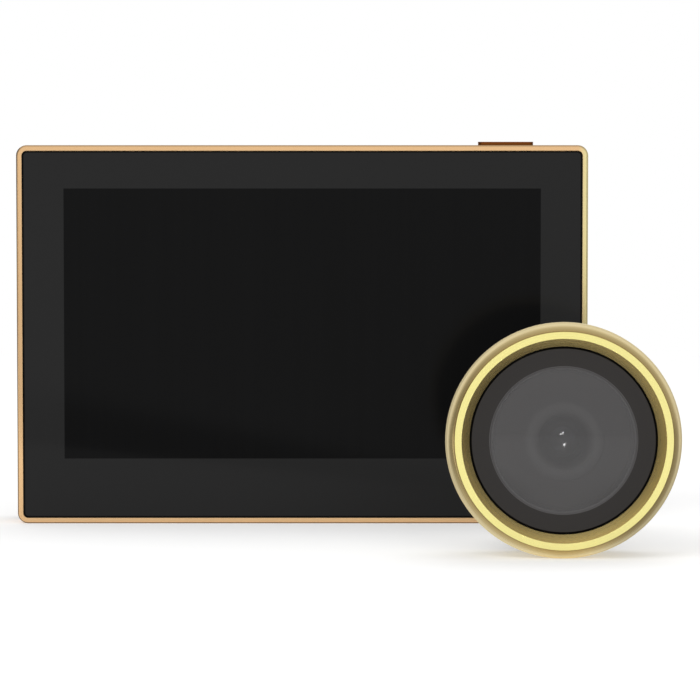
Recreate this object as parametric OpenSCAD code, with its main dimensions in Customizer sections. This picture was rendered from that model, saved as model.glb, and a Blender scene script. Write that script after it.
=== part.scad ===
// Peephole door camera: an indoor monitor and its outdoor camera head, standing as a set.
// Millimetres. X to the right, Y from the viewer into the picture, Z up.
// The origin is the middle of the monitor's bottom face.

/* [Screen] */
// Width of the picture area
screen_w = 95; // [90:0.5:100]
// Height of the picture area
screen_h = 53.9; // [50:0.1:58]

/* [Monitor] */
// Frame and black margin left and right of the picture
side_margin = 9.4; // [9:0.1:12]
// Frame and black margin above the picture
top_margin = 8.6; // [8:0.1:12]
// Frame and black margin below the picture
bottom_margin = 13; // [12.4:0.1:16]
// Gold border beside the glass
frame_border = 1.1; // [0.8:0.05:1.5]
// Radius of the outline's corners
corner_r = 2.1; // [1.8:0.1:3]
// Chamfer round the frame's front edge
frame_chamfer = 0.35; // [0.1:0.05:0.6]
// Side walls of the frame and the rear housing
wall = 1.4; // [1.2:0.05:1.6]
// Plate inside the frame, between the display and the electronics
midplate_t = 1; // [0.8:0.1:1.4]
// Floor of the rear housing
floor_t = 1.5; // [1.2:0.1:2]
// Round along the housing's back edge
back_round = 1.6; // [0.8:0.1:1.8]

/* [Display] */
// Front glass
glass_t = 1.4; // [1:0.1:2]
// How far the glass lies below the frame's front edge
glass_setback = 0.2; // [0.1:0.05:0.4]
// Adhesive layer behind the glass
tape_t = 0.2; // [0.1:0.05:0.4]
// Liquid crystal cell
cell_t = 1.1; // [0.8:0.1:1.6]
// Backlight tray
backlight_t = 1.8; // [1.4:0.1:2.4]
// Display module beyond the picture at each side
display_side = 5.2; // [4:0.1:5.4]
// Display module beyond the picture at the top
display_top = 3.9; // [3:0.1:4.2]
// Display module beyond the picture at the bottom
display_bottom = 9.4; // [8:0.1:9.6]

/* [Electronics] */
// Circuit board
board_t = 1.2; // [0.8:0.1:1.6]
// Standoffs below the board
standoff_h = 1.4; // [1:0.1:2]
// Lithium battery, thickness
battery_t = 4.6; // [3.6:0.1:5.6]
// Lithium battery, width
battery_w = 33; // [28:0.5:37]
// Lithium battery, height
battery_h = 54; // [44:0.5:54]
// Loudspeaker radius
speaker_r = 7.5; // [6:0.25:8.5]
// Loudspeaker thickness
speaker_t = 3; // [2:0.1:3.2]

/* [Power button] */
// Width of the button on the top edge
button_w = 11.1; // [8:0.1:14]
// Front to back size of the button
button_d = 3; // [2.6:0.1:3.2]
// How far the button stands above the top edge
button_rise = 0.7; // [0.7:0.05:1.4]
// Distance of the button's middle from the monitor's right edge
button_from_edge = 16; // [15.5:0.1:22]
// How far the button goes in
button_travel = 0.6; // [0.3:0.05:0.65]

/* [Door bracket] */
// Width of the bracket plate
bracket_w = 60; // [52:0.5:61]
// Height of the bracket plate
bracket_h = 46; // [42:0.5:48]
// Steel sheet of the bracket
bracket_t = 1.2; // [1:0.1:1.5]
// Width of each hook
hook_w = 8; // [6:0.25:10]
// How far a hook's lip reaches up behind the housing
hook_lip = 2.5; // [1.5:0.1:2.8]
// How far the monitor lifts to come off the hooks
hook_travel = 3.5; // [3.2:0.1:4]
// Foam pad against the door
pad_t = 1; // [0.5:0.1:2]

/* [Sleeve nut] */
// Wall of the sleeve round the camera's stub
sleeve_wall = 1; // [0.8:0.05:1.3]
// Length of the sleeve behind its flange
sleeve_l = 30; // [18:0.5:40]
// How far the flange stands out past the sleeve
flange_w = 4; // [2.5:0.1:5]
// Flange thickness
flange_t = 1.5; // [1:0.1:1.8]

/* [Camera head] */
// Diameter of the camera's rim
camera_dia = 43.2; // [41.5:0.1:48]
// Concave step from the front land to the rim
cove_r = 1.65; // [1.2:0.05:1.8]
// Width of the flat front land
land_w = 1.25; // [1:0.05:2]
// Width of the slope from the land to the lens cell
slope_w = 1.5; // [1.2:0.05:1.8]
// Depth of that slope
slope_d = 1.8; // [1.2:0.1:1.9]
// Width of the dark ring round the front lens
cell_ring_w = 3.3; // [2.6:0.05:3.5]
// Straight side of the rim
rim_w = 1.5; // [0.8:0.1:3]
// How far the side draws in from the rim to the door
side_draft = 0.9; // [0:0.05:1.2]
// Height of the front lens dome
lens_sag = 1.2; // [0.6:0.1:1.5]
// Outer radius of the threaded stub
stub_r = 5.9; // [5.4:0.05:6.4]
// Wall of the stub round the ribbon
stub_wall = 1.4; // [1:0.05:1.6]
// Length of the stub behind the body
stub_l = 24; // [16:0.5:34]
// Rubber gasket against the door
gasket_t = 1.5; // [0.8:0.1:2.5]

/* [Set] */
// How far the camera stands out past the monitor's right edge
camera_overhang = 13.2; // [0:0.1:20]
// Free space between the stub's end and the monitor's front
camera_clear = 24.5; // [10:0.5:40]

/* [Clearances] */
// Gap round parts that are laid into a pocket
lay_gap = 0.1; // [0.05:0.05:0.2]
// Gap round the sliding button and the hooks
slide_gap = 0.2; // [0.15:0.05:0.3]
// Gap of the turning sleeve in its plate
turn_gap = 0.08; // [0.05:0.01:0.1]
// Gap round screw shanks
screw_gap = 0.05; // [0.04:0.01:0.1]
// Gap between the stub's thread and the sleeve
thread_gap = 0.1; // [0.05:0.01:0.2]

/* [Hidden] */
$fn = 72;
// How far a cut runs past a face, and how far joined solids run into each other
eps = 0.5;
join = 0.2;

monitor_w = screen_w + 2 * side_margin;
monitor_h = screen_h + top_margin + bottom_margin;
mid_z = monitor_h / 2;

// Depths behind the frame's front edge
glass_back = glass_setback + glass_t;
ledge = glass_back + tape_t;
backlight_at = ledge + cell_t;
pocket_at = backlight_at + backlight_t + lay_gap;
midplate_back = pocket_at + midplate_t;
board_at = midplate_back + standoff_h;
board_back = board_at + board_t;
// Frame and housing part just in front of the board's back, so that the ports open in the housing
parting = 0.4;
frame_d = board_back - parting;
battery_pad_t = 0.3;
battery_at = midplate_back + battery_pad_t;
battery_back = battery_at + battery_t;
chip_h = 2;
socket_h = 2;
inside_back = max(battery_back, board_back + chip_h);

// The hooks reach in behind the recess floor, the flange lies in a pocket of its own
hook_room = 0.2;
lip_at = inside_back + hook_room;
lip_play = 0.4;
plate_gap = 0.3;
flange_gap = 0.05;
flange_room = 0.55;
pocket_floor = 1.2;
recess_for_hooks = lip_at + bracket_t + lip_play + floor_t;
recess_for_flange = board_back + socket_h + plate_gap + pocket_floor + flange_room + flange_t
    + flange_gap - plate_gap;
recess_at = max(recess_for_hooks, recess_for_flange);
recess_in = recess_at - floor_t;
plate_at = recess_at + plate_gap;
plate_back = plate_at + bracket_t;
plate_sunk = 0.5;
monitor_d = plate_back + plate_sunk;
floor_in = monitor_d - floor_t;
flange_at = plate_at - flange_gap - flange_t;
flange_pocket_at = flange_at - flange_room;
flange_pocket_in = flange_pocket_at - pocket_floor;

// Display module
display_w = screen_w + 2 * display_side;
display_h = screen_h + display_top + display_bottom;
display_z = bottom_margin - display_bottom;
display_gap = 0.3;
cell_inset = 0.8;
tray_rim = 0.6;
tray_low = 0.2;
flex_w = 24;
flex_h = 2.4;
flex_r = 1;
flex_up = 8;

// Screws through the rear housing
screw_in = 6.4;
screw_x = monitor_w / 2 - screw_in;
screw_lo = screw_in;
screw_hi = monitor_h - screw_in;
boss_r = 2.4;
boss_h = 2.9;
tube_r = 2.6;
tube_gap = 0.2;
screw_r = 0.8;
head_r = 1.9;
head_t = 1.2;
head_sunk = 1.8;
head_seat = monitor_d - head_sunk - head_t;
screw_bite = 0.4;
screw_tip = midplate_back + screw_bite;
pilot_more = 0.2;
tube_room = 0.35;
tube_bore = screw_r + tube_room;
slot_deep = 0.6;

// Joint between the frame and the housing
tongue_l = 1.2;
tongue_t = 0.9;
tongue_in = wall + lay_gap + tongue_t;
tongue_foot = 0.6;

// Board and battery
battery_gap = 0.5;
battery_x0 = -screw_x + tube_r + battery_gap;
battery_z0 = mid_z - battery_h / 2;
battery_r = 1.5;
battery_pad_in = 3;
terrace_h = 3.5;
terrace_in = 1.2;
board_in = 4.4;
board_beside = 3.4;
board_x0 = battery_x0 + battery_w + board_beside;
board_x1 = monitor_w / 2 - board_in;
board_end = 9.8;
board_z0 = board_end;
board_z1 = monitor_h - board_end;
board_screw_in = 3.2;
board_screw_r = 0.7;
board_head_r = 1.6;
board_head_t = 0.9;
standoff_r = 2.2;
board_hole_room = 0.3;
board_hole = board_screw_r + board_hole_room;
board_bite = 0.3;
socket_w = 10;
socket_d = 4;
port_spread = 9;
usb_z = mid_z + port_spread;
usb_w = 7.5;
usb_t = 2.8;
usb_l = 5.6;
usb_shell = 0.35;
usb_tongue = 0.6;
usb_tongue_w = 4;
usb_tongue_at = 1.1;
usb_deep = 4.6;
card_z = mid_z - port_spread;
card_w = 13;
card_t = 1.6;
card_l = 14;
card_inset = 1.2;
card_shell = 0.35;
card_cheek = 0.9;
port_gap = 0.4;
port_reach = monitor_w / 2 - wall - lay_gap;

// Loudspeaker on the housing floor
recess_side = 0.5;
tub_x = bracket_w / 2 + recess_side + wall;
speaker_x = (tub_x + monitor_w / 2 - wall) / 2;
speaker_z = 19;
speaker_wall = 1;
speaker_gap = 0.3;
speaker_rim = 1;
speaker_step = 3;
speaker_magnet = 0.8;
speaker_bowl = 0.8;
collar_h = 2.2;
slot_w = 1.2;
slot_step = 2.6;
reset_r = 0.6;
reset_in = 6;
reset_up = 8;
rib_t = 1;
rib_step = 15;

// Power button, its flange inside the wall and the switch below
button_x = monitor_w / 2 - button_from_edge;
button_behind = 2.9;
button_at = frame_d + button_behind;
button_r = 1;
button_flange = 0.8;
button_lip = 0.6;
button_rest = 0.1;
button_flange_top = monitor_h - wall - button_rest;
button_flange_low = button_flange_top - button_flange;
switch_w = 6;
switch_h = 4;
switch_t = 3;
switch_at = board_back + switch_t / 2;
plunger_r = 0.9;
plunger_gap = 0.1;
plunger_floor = 1;
plunger_play = 0.2;
plunger_low = board_z1 - switch_h + plunger_floor + button_travel + plunger_play;
plunger_up = 1.2;
plunger_top = board_z1 + plunger_up;
stem_w = 3;
stem_t = 1.6;

// Recess, hooks
recess_r = 3.5;
bracket_r = 3;
stub_bore_r = stub_r - stub_wall;
sleeve_bore_r = stub_r + thread_gap;
sleeve_r = sleeve_bore_r + sleeve_wall;
flange_r = sleeve_r + flange_w;
flange_side = 0.5;
shoulder_w = 0.4;
shoulder_r = sleeve_r + shoulder_w;
shoulder_past = 0.1;
shoulder_back = plate_back + shoulder_past;
sleeve_end = flange_at + flange_t + sleeve_l;
spanner_w = 3;
spanner_deep = 2.5;
end_chamfer = 0.6;
hook_in_x = 10;
hook_in_z = 9;
hook_x = bracket_w / 2 - hook_in_x;
hook_z = bracket_h / 2 - hook_in_z;
hook_relief = 0.3;
pad_in = 1;
pad_room = 1.6;
pad_bore = shoulder_r + pad_room;
hook_window = hook_lip + plate_at - lip_at - bracket_t;
ribbon_slot_w = 14;
ribbon_slot_h = 4;
ribbon_slot_r = 1;

// Camera radii, from the rim inward
camera_r = camera_dia / 2;
land_out = camera_r - cove_r;
land_in = land_out - land_w;
cell_bore = land_in - slope_w;
seal_w = 0.4;
cell_r = cell_bore - seal_w;
lens_bore = cell_r - cell_ring_w;
lens_r = lens_bore - lay_gap;
lens_step = 1;
baffle_bore = lens_bore - lens_step;
baffle_r = baffle_bore - lay_gap;
cavity_wall = 2.25;
cavity_r = camera_r - cavity_wall;
cell_flange_gap = 0.7;
cell_flange_r = cavity_r - cell_flange_gap;
rim_chamfer = 0.3;
rim_at = sqrt(cove_r * cove_r - rim_chamfer * rim_chamfer);
rim_back = rim_at + rim_chamfer + rim_w;
door_r = camera_r - side_draft;
rear_chamfer = 0.4;

// Camera depths behind its front land
cell_front = 1.9;
lens_edge = 2.3;
lens_seat = 4;
shelf = 4.5;
cell_flange_t = 1.2;
cell_back = shelf + cell_flange_t;
seal_gap = 0.05;
seal_back = 0.5;
lens_apex = lens_edge - lens_sag;
lens_ball = (lens_r * lens_r + lens_sag * lens_sag) / (2 * lens_sag);
meniscus_r = 7.7;
meniscus_sag = 2;
meniscus_ball = (meniscus_r * meniscus_r + meniscus_sag * meniscus_sag) / (2 * meniscus_sag);
baffle_gap = 0.15;
baffle_front = lens_seat + baffle_gap;
baffle_step = 0.8;
step_1 = meniscus_r;
step_2 = 5.8;
step_3 = 4.4;
baffle_waist = 9;
baffle_t = 2.65;
baffle_back = baffle_front + baffle_t;
barrel_nose_r = 4.2;
barrel_nose = 6;
barrel_collar_r = 5.5;
barrel_gap = 0.2;
barrel_collar = baffle_back + barrel_gap;
barrel_collar_t = 0.8;
barrel_thread_r = 4.5;
barrel_thread_l = 1.6;
barrel_thread = barrel_collar + barrel_collar_t;
barrel_end = barrel_thread + barrel_thread_l;
objective_r = 3.3;
objective_t = 0.8;
objective_seat = barrel_nose + objective_t;
objective_sag = 0.9;
objective_low = 0.1;
objective_edge = barrel_nose + objective_low;
objective_ball = (objective_r * objective_r + objective_sag * objective_sag) / (2 * objective_sag);
rear_lens_r = 2.6;
rear_lens_deep = 1.2;
rear_lens_step = 0.5;
rear_lens_at = barrel_end - rear_lens_deep;
rear_lens_t = 0.6;
rear_lens_sag = 0.4;
rear_lens_ball = (rear_lens_r * rear_lens_r + rear_lens_sag * rear_lens_sag) / (2 * rear_lens_sag);
holder_w = 11.6;
holder_gap = 0.1;
holder_front = barrel_thread + holder_gap;
sensor_w = 7;
sensor_t = 0.7;
sensor_front = barrel_end + holder_gap;
sensor_back = sensor_front + sensor_t;
holder_room = 9.2;
sensor_board_t = 1;
sensor_board_back = sensor_back + sensor_board_t;
back_boss_in = 2.75;
back_screw_ring = cavity_r - back_boss_in;
back_boss_r = 2.2;
sensor_board_gap = 1;
sensor_board_r = back_screw_ring - back_boss_r - sensor_board_gap;
sensor_screw_in = 3;
sensor_screw_x = sensor_board_r - sensor_screw_in;
sensor_screw_r = 0.75;
sensor_hole_room = 0.25;
sensor_hole = sensor_screw_r + sensor_hole_room;
sensor_bite = 0.6;
sensor_pilot = 0.9;
sensor_head_r = 1.7;
sensor_head_t = 0.8;
connector_t = 1;
connector_w = 9;
connector_d = 3.5;
connector_cheek = 0.8;
connector_slot = 0.6;
connector_gap = 0.2;
back_plate_t = 1.6;
back_plate = sensor_board_back + connector_t + connector_gap;
bezel_d = back_plate + back_plate_t;
back_plate_gap = 0.2;
back_plate_r = cavity_r - back_plate_gap;
back_boss_gap = 0.3;
back_boss_at = cell_back + back_boss_gap;
back_web = 1.8;
back_hole = 1;
back_screw_r = 0.8;
back_head_r = 1.6;
back_head_t = 0.8;
back_head_sunk = 0.1;
back_screw_l = 5;
gasket_in = 0.6;
gasket_r = door_r - gasket_in;
gasket_room = 1.1;
gasket_bore = stub_r + gasket_room;
stub_end = bezel_d + stub_l;

camera_x = monitor_w / 2 + camera_overhang - camera_r;
camera_y = -monitor_d / 2 - camera_clear - stub_end;

// Flat shape in X and Z, from one depth to another behind the monitor's front
module sheet(from, to) {
    translate([0, to - monitor_d / 2, 0])
        rotate([90, 0, 0])
            linear_extrude(to - from)
                children();
}

// Rectangle with round corners about the middle
module round_rect(w, h, r) {
    square([w - 2 * r, h], center = true);
    square([w, h - 2 * r], center = true);
    for (x = [-1, 1], z = [-1, 1])
        translate([x * (w / 2 - r), z * (h / 2 - r)])
            circle(r);
}

// The monitor's outline, moved inward
module outline(inset) {
    translate([0, mid_z])
        round_rect(monitor_w - 2 * inset, monitor_h - 2 * inset, max(corner_r - inset, 0.4));
}

// The display module's outline, grown
module display_outline(grow) {
    translate([-display_w / 2 - grow, display_z - grow])
        square([display_w + 2 * grow, display_h + 2 * grow]);
}

// Cross-section of a slab: chamfered in front, rounded at the back
module slab_profile(half, from, to, chamfer, round) {
    polygon([[-half + chamfer, from], [half - chamfer, from], [half, from + chamfer],
        [half, to - round], [-half, to - round], [-half, from + chamfer]]);
    if (round > 0) {
        translate([-half + round, to - 2 * round])
            square([2 * half - 2 * round, 2 * round]);
        for (x = [-1, 1])
            translate([x * (half - round), to - round])
                circle(round);
    }
}

// Slab over the monitor's whole outline
module slab(from, to, chamfer, round) {
    translate([0, -monitor_d / 2, mid_z]) {
        rotate([0, 90, 0])
            linear_extrude(monitor_w - 2 * corner_r, center = true)
                slab_profile(monitor_h / 2, from, to, chamfer, round);
        linear_extrude(monitor_h - 2 * corner_r, center = true)
            slab_profile(monitor_w / 2, from, to, chamfer, round);
        for (x = [-1, 1], z = [-1, 1])
            translate([x * (monitor_w / 2 - corner_r), 0, z * (monitor_h / 2 - corner_r)])
                rotate([-90, 0, 0])
                    rotate_extrude()
                        intersection() {
                            slab_profile(corner_r, from, to, chamfer, round);
                            translate([0, from])
                                square([corner_r, to - from]);
                        }
    }
}

// The four places of the housing screws
module at_screws() {
    for (x = [-screw_x, screw_x], z = [screw_lo, screw_hi])
        translate([x, z])
            children();
}

// The four places of the board screws
module at_board_screws() {
    for (x = [board_x0 + board_screw_in, board_x1 - board_screw_in],
         z = [board_z0 + board_screw_in, board_z1 - board_screw_in])
        translate([x, z])
            children();
}

// The four places of the hooks
module at_hooks() {
    for (x = [-hook_x, hook_x], z = [mid_z - hook_z, mid_z + hook_z])
        translate([x, z])
            children();
}

// Cross slot in a screw head
module cross_slot(r) {
    square([1.3 * r, 0.3 * r], center = true);
    square([0.3 * r, 1.3 * r], center = true);
}

// Upright slot with round ends, as long as the way to the hooks
module travel_slot(r) {
    translate([0, mid_z])
        circle(r);
    translate([0, mid_z - hook_travel])
        circle(r);
    translate([-r, mid_z - hook_travel])
        square([2 * r, hook_travel]);
}

// Camera parts are drawn about their own axis, front to back along it
module at_camera() {
    translate([camera_x, camera_y, camera_r])
        rotate([-90, 0, 0])
            children();
}

// The three places of the camera's back screws
module at_back_screws() {
    for (a = [30, 150, 270])
        rotate([0, 0, a])
            translate([back_screw_ring, 0, 0])
                children();
}

// The two places of the sensor board's screws
module at_sensor_screws() {
    for (x = [-sensor_screw_x, sensor_screw_x])
        translate([x, 0, 0])
            children();
}

module front_frame() {
    color("goldenrod")
        difference() {
            union() {
                difference() {
                    slab(0, frame_d, frame_chamfer, 0);
                    sheet(-eps, ledge)
                        outline(frame_border);
                    sheet(ledge - eps, pocket_at)
                        display_outline(display_gap);
                    sheet(midplate_back, frame_d + eps)
                        outline(wall);
                }
                sheet(midplate_back - eps, midplate_back + boss_h)
                    at_screws()
                        circle(boss_r);
                sheet(midplate_back - eps, board_at)
                    at_board_screws()
                        circle(standoff_r);
            }
            sheet(screw_tip - pilot_more, midplate_back + boss_h + eps)
                at_screws()
                    circle(screw_r + screw_gap);
            sheet(midplate_back - board_bite, board_at + eps)
                at_board_screws()
                    circle(board_screw_r + screw_gap);
            sheet(pocket_at - eps, midplate_back + eps)
                translate([(board_x0 + board_x1) / 2, board_z0 + flex_up])
                    round_rect(flex_w, flex_h, flex_r);
        }
}

module front_glass() {
    color("black")
        sheet(glass_setback, glass_back)
            outline(frame_border + lay_gap);
}

module glass_tape() {
    color("dimgray")
        sheet(glass_back, ledge)
            difference() {
                outline(frame_border + lay_gap);
                display_outline(display_gap);
            }
}

module optical_adhesive() {
    color("silver")
        sheet(glass_back, ledge)
            display_outline(-cell_inset);
}

module display_cell() {
    color("darkslategray")
        sheet(ledge, backlight_at)
            display_outline(-cell_inset);
}

module backlight() {
    color("lightgray") {
        sheet(backlight_at, backlight_at + backlight_t)
            display_outline(0);
        sheet(ledge + tray_low, backlight_at + join)
            difference() {
                display_outline(0);
                display_outline(-tray_rim);
            }
    }
}

module main_board() {
    color("darkgreen")
        sheet(board_at, board_back)
            difference() {
                translate([board_x0, board_z0])
                    square([board_x1 - board_x0, board_z1 - board_z0]);
                at_board_screws()
                    circle(board_hole);
            }
}

// Each chip: place from the board's lower left corner, width, height, thickness
chips = [[20, 34, 12, 12, 1.4], [37, 36, 9, 11, 1.2], [18, 10, 7, 7, 1], [33, 14, 6, 5, 0.9],
    [6, 44, 6, 4, 1.8], [26, 4, 10, 3, 1.6]];

module board_chips() {
    color("dimgray")
        for (c = chips)
            sheet(board_back, board_back + c[4])
                translate([board_x0 + c[0], board_z0 + c[1]])
                    square([c[2], c[3]]);
}

module board_screws() {
    color("lightgray")
        difference() {
            union() {
                sheet(board_back, board_back + board_head_t)
                    at_board_screws()
                        circle(board_head_r);
                sheet(midplate_back - board_bite / 2, board_back + join)
                    at_board_screws()
                        circle(board_screw_r);
            }
            sheet(board_back + board_head_t / 2, board_back + board_head_t + eps)
                at_board_screws()
                    cross_slot(board_head_r);
        }
}

module ribbon_socket() {
    color("beige")
        difference() {
            sheet(board_back, board_back + socket_h)
                translate([-socket_w / 2, mid_z - socket_d / 2])
                    square([socket_w, socket_d]);
            sheet(board_back + connector_slot, board_back + socket_h + eps)
                translate([-socket_w / 2 + connector_cheek, mid_z - connector_slot / 2])
                    square([socket_w - 2 * connector_cheek, connector_slot]);
        }
}

module usb_socket() {
    color("silver")
        difference() {
            sheet(board_back, board_back + usb_t)
                translate([port_reach - usb_l, usb_z - usb_w / 2])
                    square([usb_l, usb_w]);
            difference() {
                sheet(board_back + usb_shell, board_back + usb_t - usb_shell)
                    translate([port_reach - usb_deep, usb_z - usb_w / 2 + usb_shell])
                        square([usb_l, usb_w - 2 * usb_shell]);
                sheet(board_back + usb_tongue_at, board_back + usb_tongue_at + usb_tongue)
                    translate([port_reach - usb_l + usb_shell, usb_z - usb_tongue_w / 2])
                        square([usb_deep, usb_tongue_w]);
            }
        }
}

module card_socket() {
    color("gainsboro")
        difference() {
            sheet(board_back, board_back + card_t)
                translate([port_reach - card_inset - card_l, card_z - card_w / 2])
                    square([card_l, card_w]);
            sheet(board_back + card_shell, board_back + card_t - card_shell)
                translate([port_reach - card_l, card_z - card_w / 2 + card_cheek])
                    square([card_l, card_w - 2 * card_cheek]);
        }
}

module button_switch() {
    color("black")
        difference() {
            sheet(board_back, board_back + switch_t)
                translate([button_x - switch_w / 2, board_z1 - switch_h])
                    square([switch_w, switch_h]);
            translate([button_x, switch_at - monitor_d / 2, board_z1 - switch_h + plunger_floor])
                cylinder(h = switch_h, r = plunger_r + plunger_gap);
        }
}

module switch_plunger() {
    color("white")
        translate([button_x, switch_at - monitor_d / 2, plunger_low])
            cylinder(h = plunger_top - plunger_low, r = plunger_r);
}

module power_button() {
    color("sienna")
        translate([button_x, 0, 0]) {
            translate([0, button_at - monitor_d / 2, button_flange_top - join])
                linear_extrude(monitor_h + button_rise - button_flange_top + join)
                    round_rect(button_w, button_d, button_r);
            translate([0, button_at - monitor_d / 2, button_flange_low])
                linear_extrude(button_flange)
                    round_rect(button_w + 2 * button_lip, button_d + 2 * button_lip, button_r);
            translate([-stem_w / 2, switch_at - stem_t / 2 - monitor_d / 2, plunger_top])
                cube([stem_w, stem_t, button_flange_low - plunger_top + join]);
        }
}

module battery() {
    color("lightsteelblue") {
        sheet(battery_at, battery_back)
            translate([battery_x0 + battery_w / 2, battery_z0 + battery_h / 2])
                round_rect(battery_w, battery_h, battery_r);
        // Sealed terrace with the terminals, at the top
        sheet(battery_at, battery_at + battery_t / 3)
            translate([battery_x0 + terrace_in, battery_z0 + battery_h - join])
                square([battery_w - 2 * terrace_in, terrace_h + join]);
    }
}

module battery_pad() {
    color("white")
        sheet(midplate_back, battery_at)
            translate([battery_x0 + battery_w / 2, battery_z0 + battery_h / 2])
                square([battery_w - 2 * battery_pad_in, battery_h - 2 * battery_pad_in], center = true);
}

module speaker() {
    color("darkgray")
        difference() {
            union() {
                sheet(floor_in - speaker_t, floor_in)
                    translate([speaker_x, speaker_z])
                        circle(speaker_r);
                sheet(floor_in - speaker_t - speaker_magnet, floor_in - speaker_t + join)
                    translate([speaker_x, speaker_z])
                        circle(speaker_r - speaker_step);
            }
            sheet(floor_in - speaker_bowl, floor_in + eps)
                translate([speaker_x, speaker_z])
                    circle(speaker_r - speaker_rim);
        }
}

// Length of each loudspeaker slot, from the middle outward
speaker_slots = [10.4, 9, 5.6];

module rear_housing() {
    color("dimgray")
        difference() {
            union() {
                difference() {
                    slab(frame_d, monitor_d, 0, back_round);
                    sheet(frame_d - eps, floor_in)
                        outline(wall);
                }
                // Tongue that enters the frame
                sheet(frame_d - tongue_l, frame_d + tongue_foot)
                    difference() {
                        outline(wall + lay_gap);
                        outline(tongue_in);
                    }
                sheet(frame_d, frame_d + tongue_foot)
                    difference() {
                        outline(wall - join);
                        outline(tongue_in);
                    }
                // Tub round the bracket recess and the flange pocket
                sheet(recess_in, floor_in + join)
                    translate([0, mid_z - hook_travel / 2])
                        round_rect(bracket_w + 2 * recess_side + 2 * wall,
                            bracket_h + 2 * recess_side + 2 * wall + hook_travel, recess_r + wall);
                sheet(flange_pocket_in, recess_in + join)
                    travel_slot(flange_r + flange_side + pocket_floor);
                // Screw tubes
                sheet(midplate_back + boss_h + tube_gap, floor_in + join)
                    at_screws()
                        circle(tube_r);
                // Collar round the loudspeaker
                sheet(floor_in - collar_h, floor_in + join)
                    translate([speaker_x, speaker_z])
                        difference() {
                            circle(speaker_r + speaker_gap + speaker_wall);
                            circle(speaker_r + speaker_gap);
                        }
                // Ribs of the floor
                for (i = [-1, 0, 1])
                    sheet(recess_in, floor_in + join)
                        translate([-monitor_w / 2 + wall / 2, mid_z + i * rib_step - rib_t / 2])
                            square([monitor_w / 2 - tub_x + wall / 2, rib_t]);
                for (i = [0, 1])
                    sheet(recess_in, floor_in + join)
                        translate([tub_x - wall, mid_z + i * rib_step - rib_t / 2])
                            square([monitor_w / 2 - tub_x + wall / 2, rib_t]);
            }
            sheet(recess_at, monitor_d + eps)
                translate([0, mid_z - hook_travel / 2])
                    round_rect(bracket_w + 2 * recess_side,
                        bracket_h + 2 * recess_side + hook_travel, recess_r);
            sheet(flange_pocket_at, recess_at + eps)
                travel_slot(flange_r + flange_side);
            sheet(flange_pocket_in - eps, flange_pocket_at + eps)
                translate([0, mid_z])
                    round_rect(ribbon_slot_w, ribbon_slot_h, ribbon_slot_r);
            sheet(recess_in - eps, recess_at + eps)
                at_hooks()
                    translate([-hook_w / 2 - 2 * slide_gap, -bracket_t / 2 - hook_travel - 2 * slide_gap])
                        square([hook_w + 4 * slide_gap, bracket_t + hook_travel + 3 * slide_gap]);
            sheet(midplate_back, monitor_d + eps)
                at_screws()
                    circle(tube_bore);
            sheet(head_seat, monitor_d + eps)
                at_screws()
                    circle(head_r + slide_gap);
            for (i = [-2:2])
                sheet(floor_in - eps, monitor_d + eps)
                    translate([speaker_x, speaker_z + slot_step * i])
                        round_rect(speaker_slots[abs(i)], slot_w, 0.49 * slot_w);
            sheet(floor_in - eps, monitor_d + eps)
                translate([board_x1 - reset_in, usb_z + reset_up])
                    circle(reset_r);
            // Port openings, closed in front by the frame's edge
            sheet(frame_d - tongue_l - eps, board_back + usb_t + port_gap)
                translate([monitor_w / 2 - 2 * tongue_in, usb_z - usb_w / 2 - port_gap])
                    square([3 * tongue_in, usb_w + 2 * port_gap]);
            sheet(frame_d - tongue_l - eps, board_back + card_t + port_gap)
                translate([monitor_w / 2 - 2 * tongue_in, card_z - card_w / 2 - port_gap])
                    square([3 * tongue_in, card_w + 2 * port_gap]);
            // Slot for the power button
            translate([button_x, button_at - monitor_d / 2, monitor_h - wall - eps])
                linear_extrude(wall + 2 * eps)
                    round_rect(button_w + 2 * slide_gap, button_d + 2 * slide_gap, button_r + slide_gap);
        }
}

module housing_screws() {
    color("silver")
        difference() {
            union() {
                sheet(head_seat, head_seat + head_t)
                    at_screws()
                        circle(head_r);
                sheet(screw_tip, head_seat + join)
                    at_screws()
                        circle(screw_r);
            }
            sheet(head_seat + head_t - slot_deep, head_seat + head_t + eps)
                at_screws()
                    cross_slot(head_r);
        }
}

module mounting_bracket() {
    color("lightslategray") {
        sheet(plate_at, plate_back)
            difference() {
                translate([0, mid_z])
                    round_rect(bracket_w, bracket_h, bracket_r);
                translate([0, mid_z])
                    circle(shoulder_r + turn_gap);
                at_hooks()
                    translate([-hook_w / 2 - hook_relief, bracket_t / 2])
                        square([hook_w + 2 * hook_relief, hook_window]);
            }
        // Hooks, bent out of the plate
        sheet(lip_at, plate_at + join)
            at_hooks()
                translate([-hook_w / 2, -bracket_t / 2])
                    square([hook_w, bracket_t]);
        sheet(lip_at, lip_at + bracket_t)
            at_hooks()
                translate([-hook_w / 2, -bracket_t / 2])
                    square([hook_w, bracket_t + hook_lip]);
    }
}

module door_pad() {
    color("darkslategray")
        sheet(plate_back, plate_back + pad_t)
            translate([0, mid_z])
                difference() {
                    round_rect(bracket_w - 2 * pad_in, bracket_h - 2 * pad_in, bracket_r - pad_in);
                    circle(pad_bore);
                }
}

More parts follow.
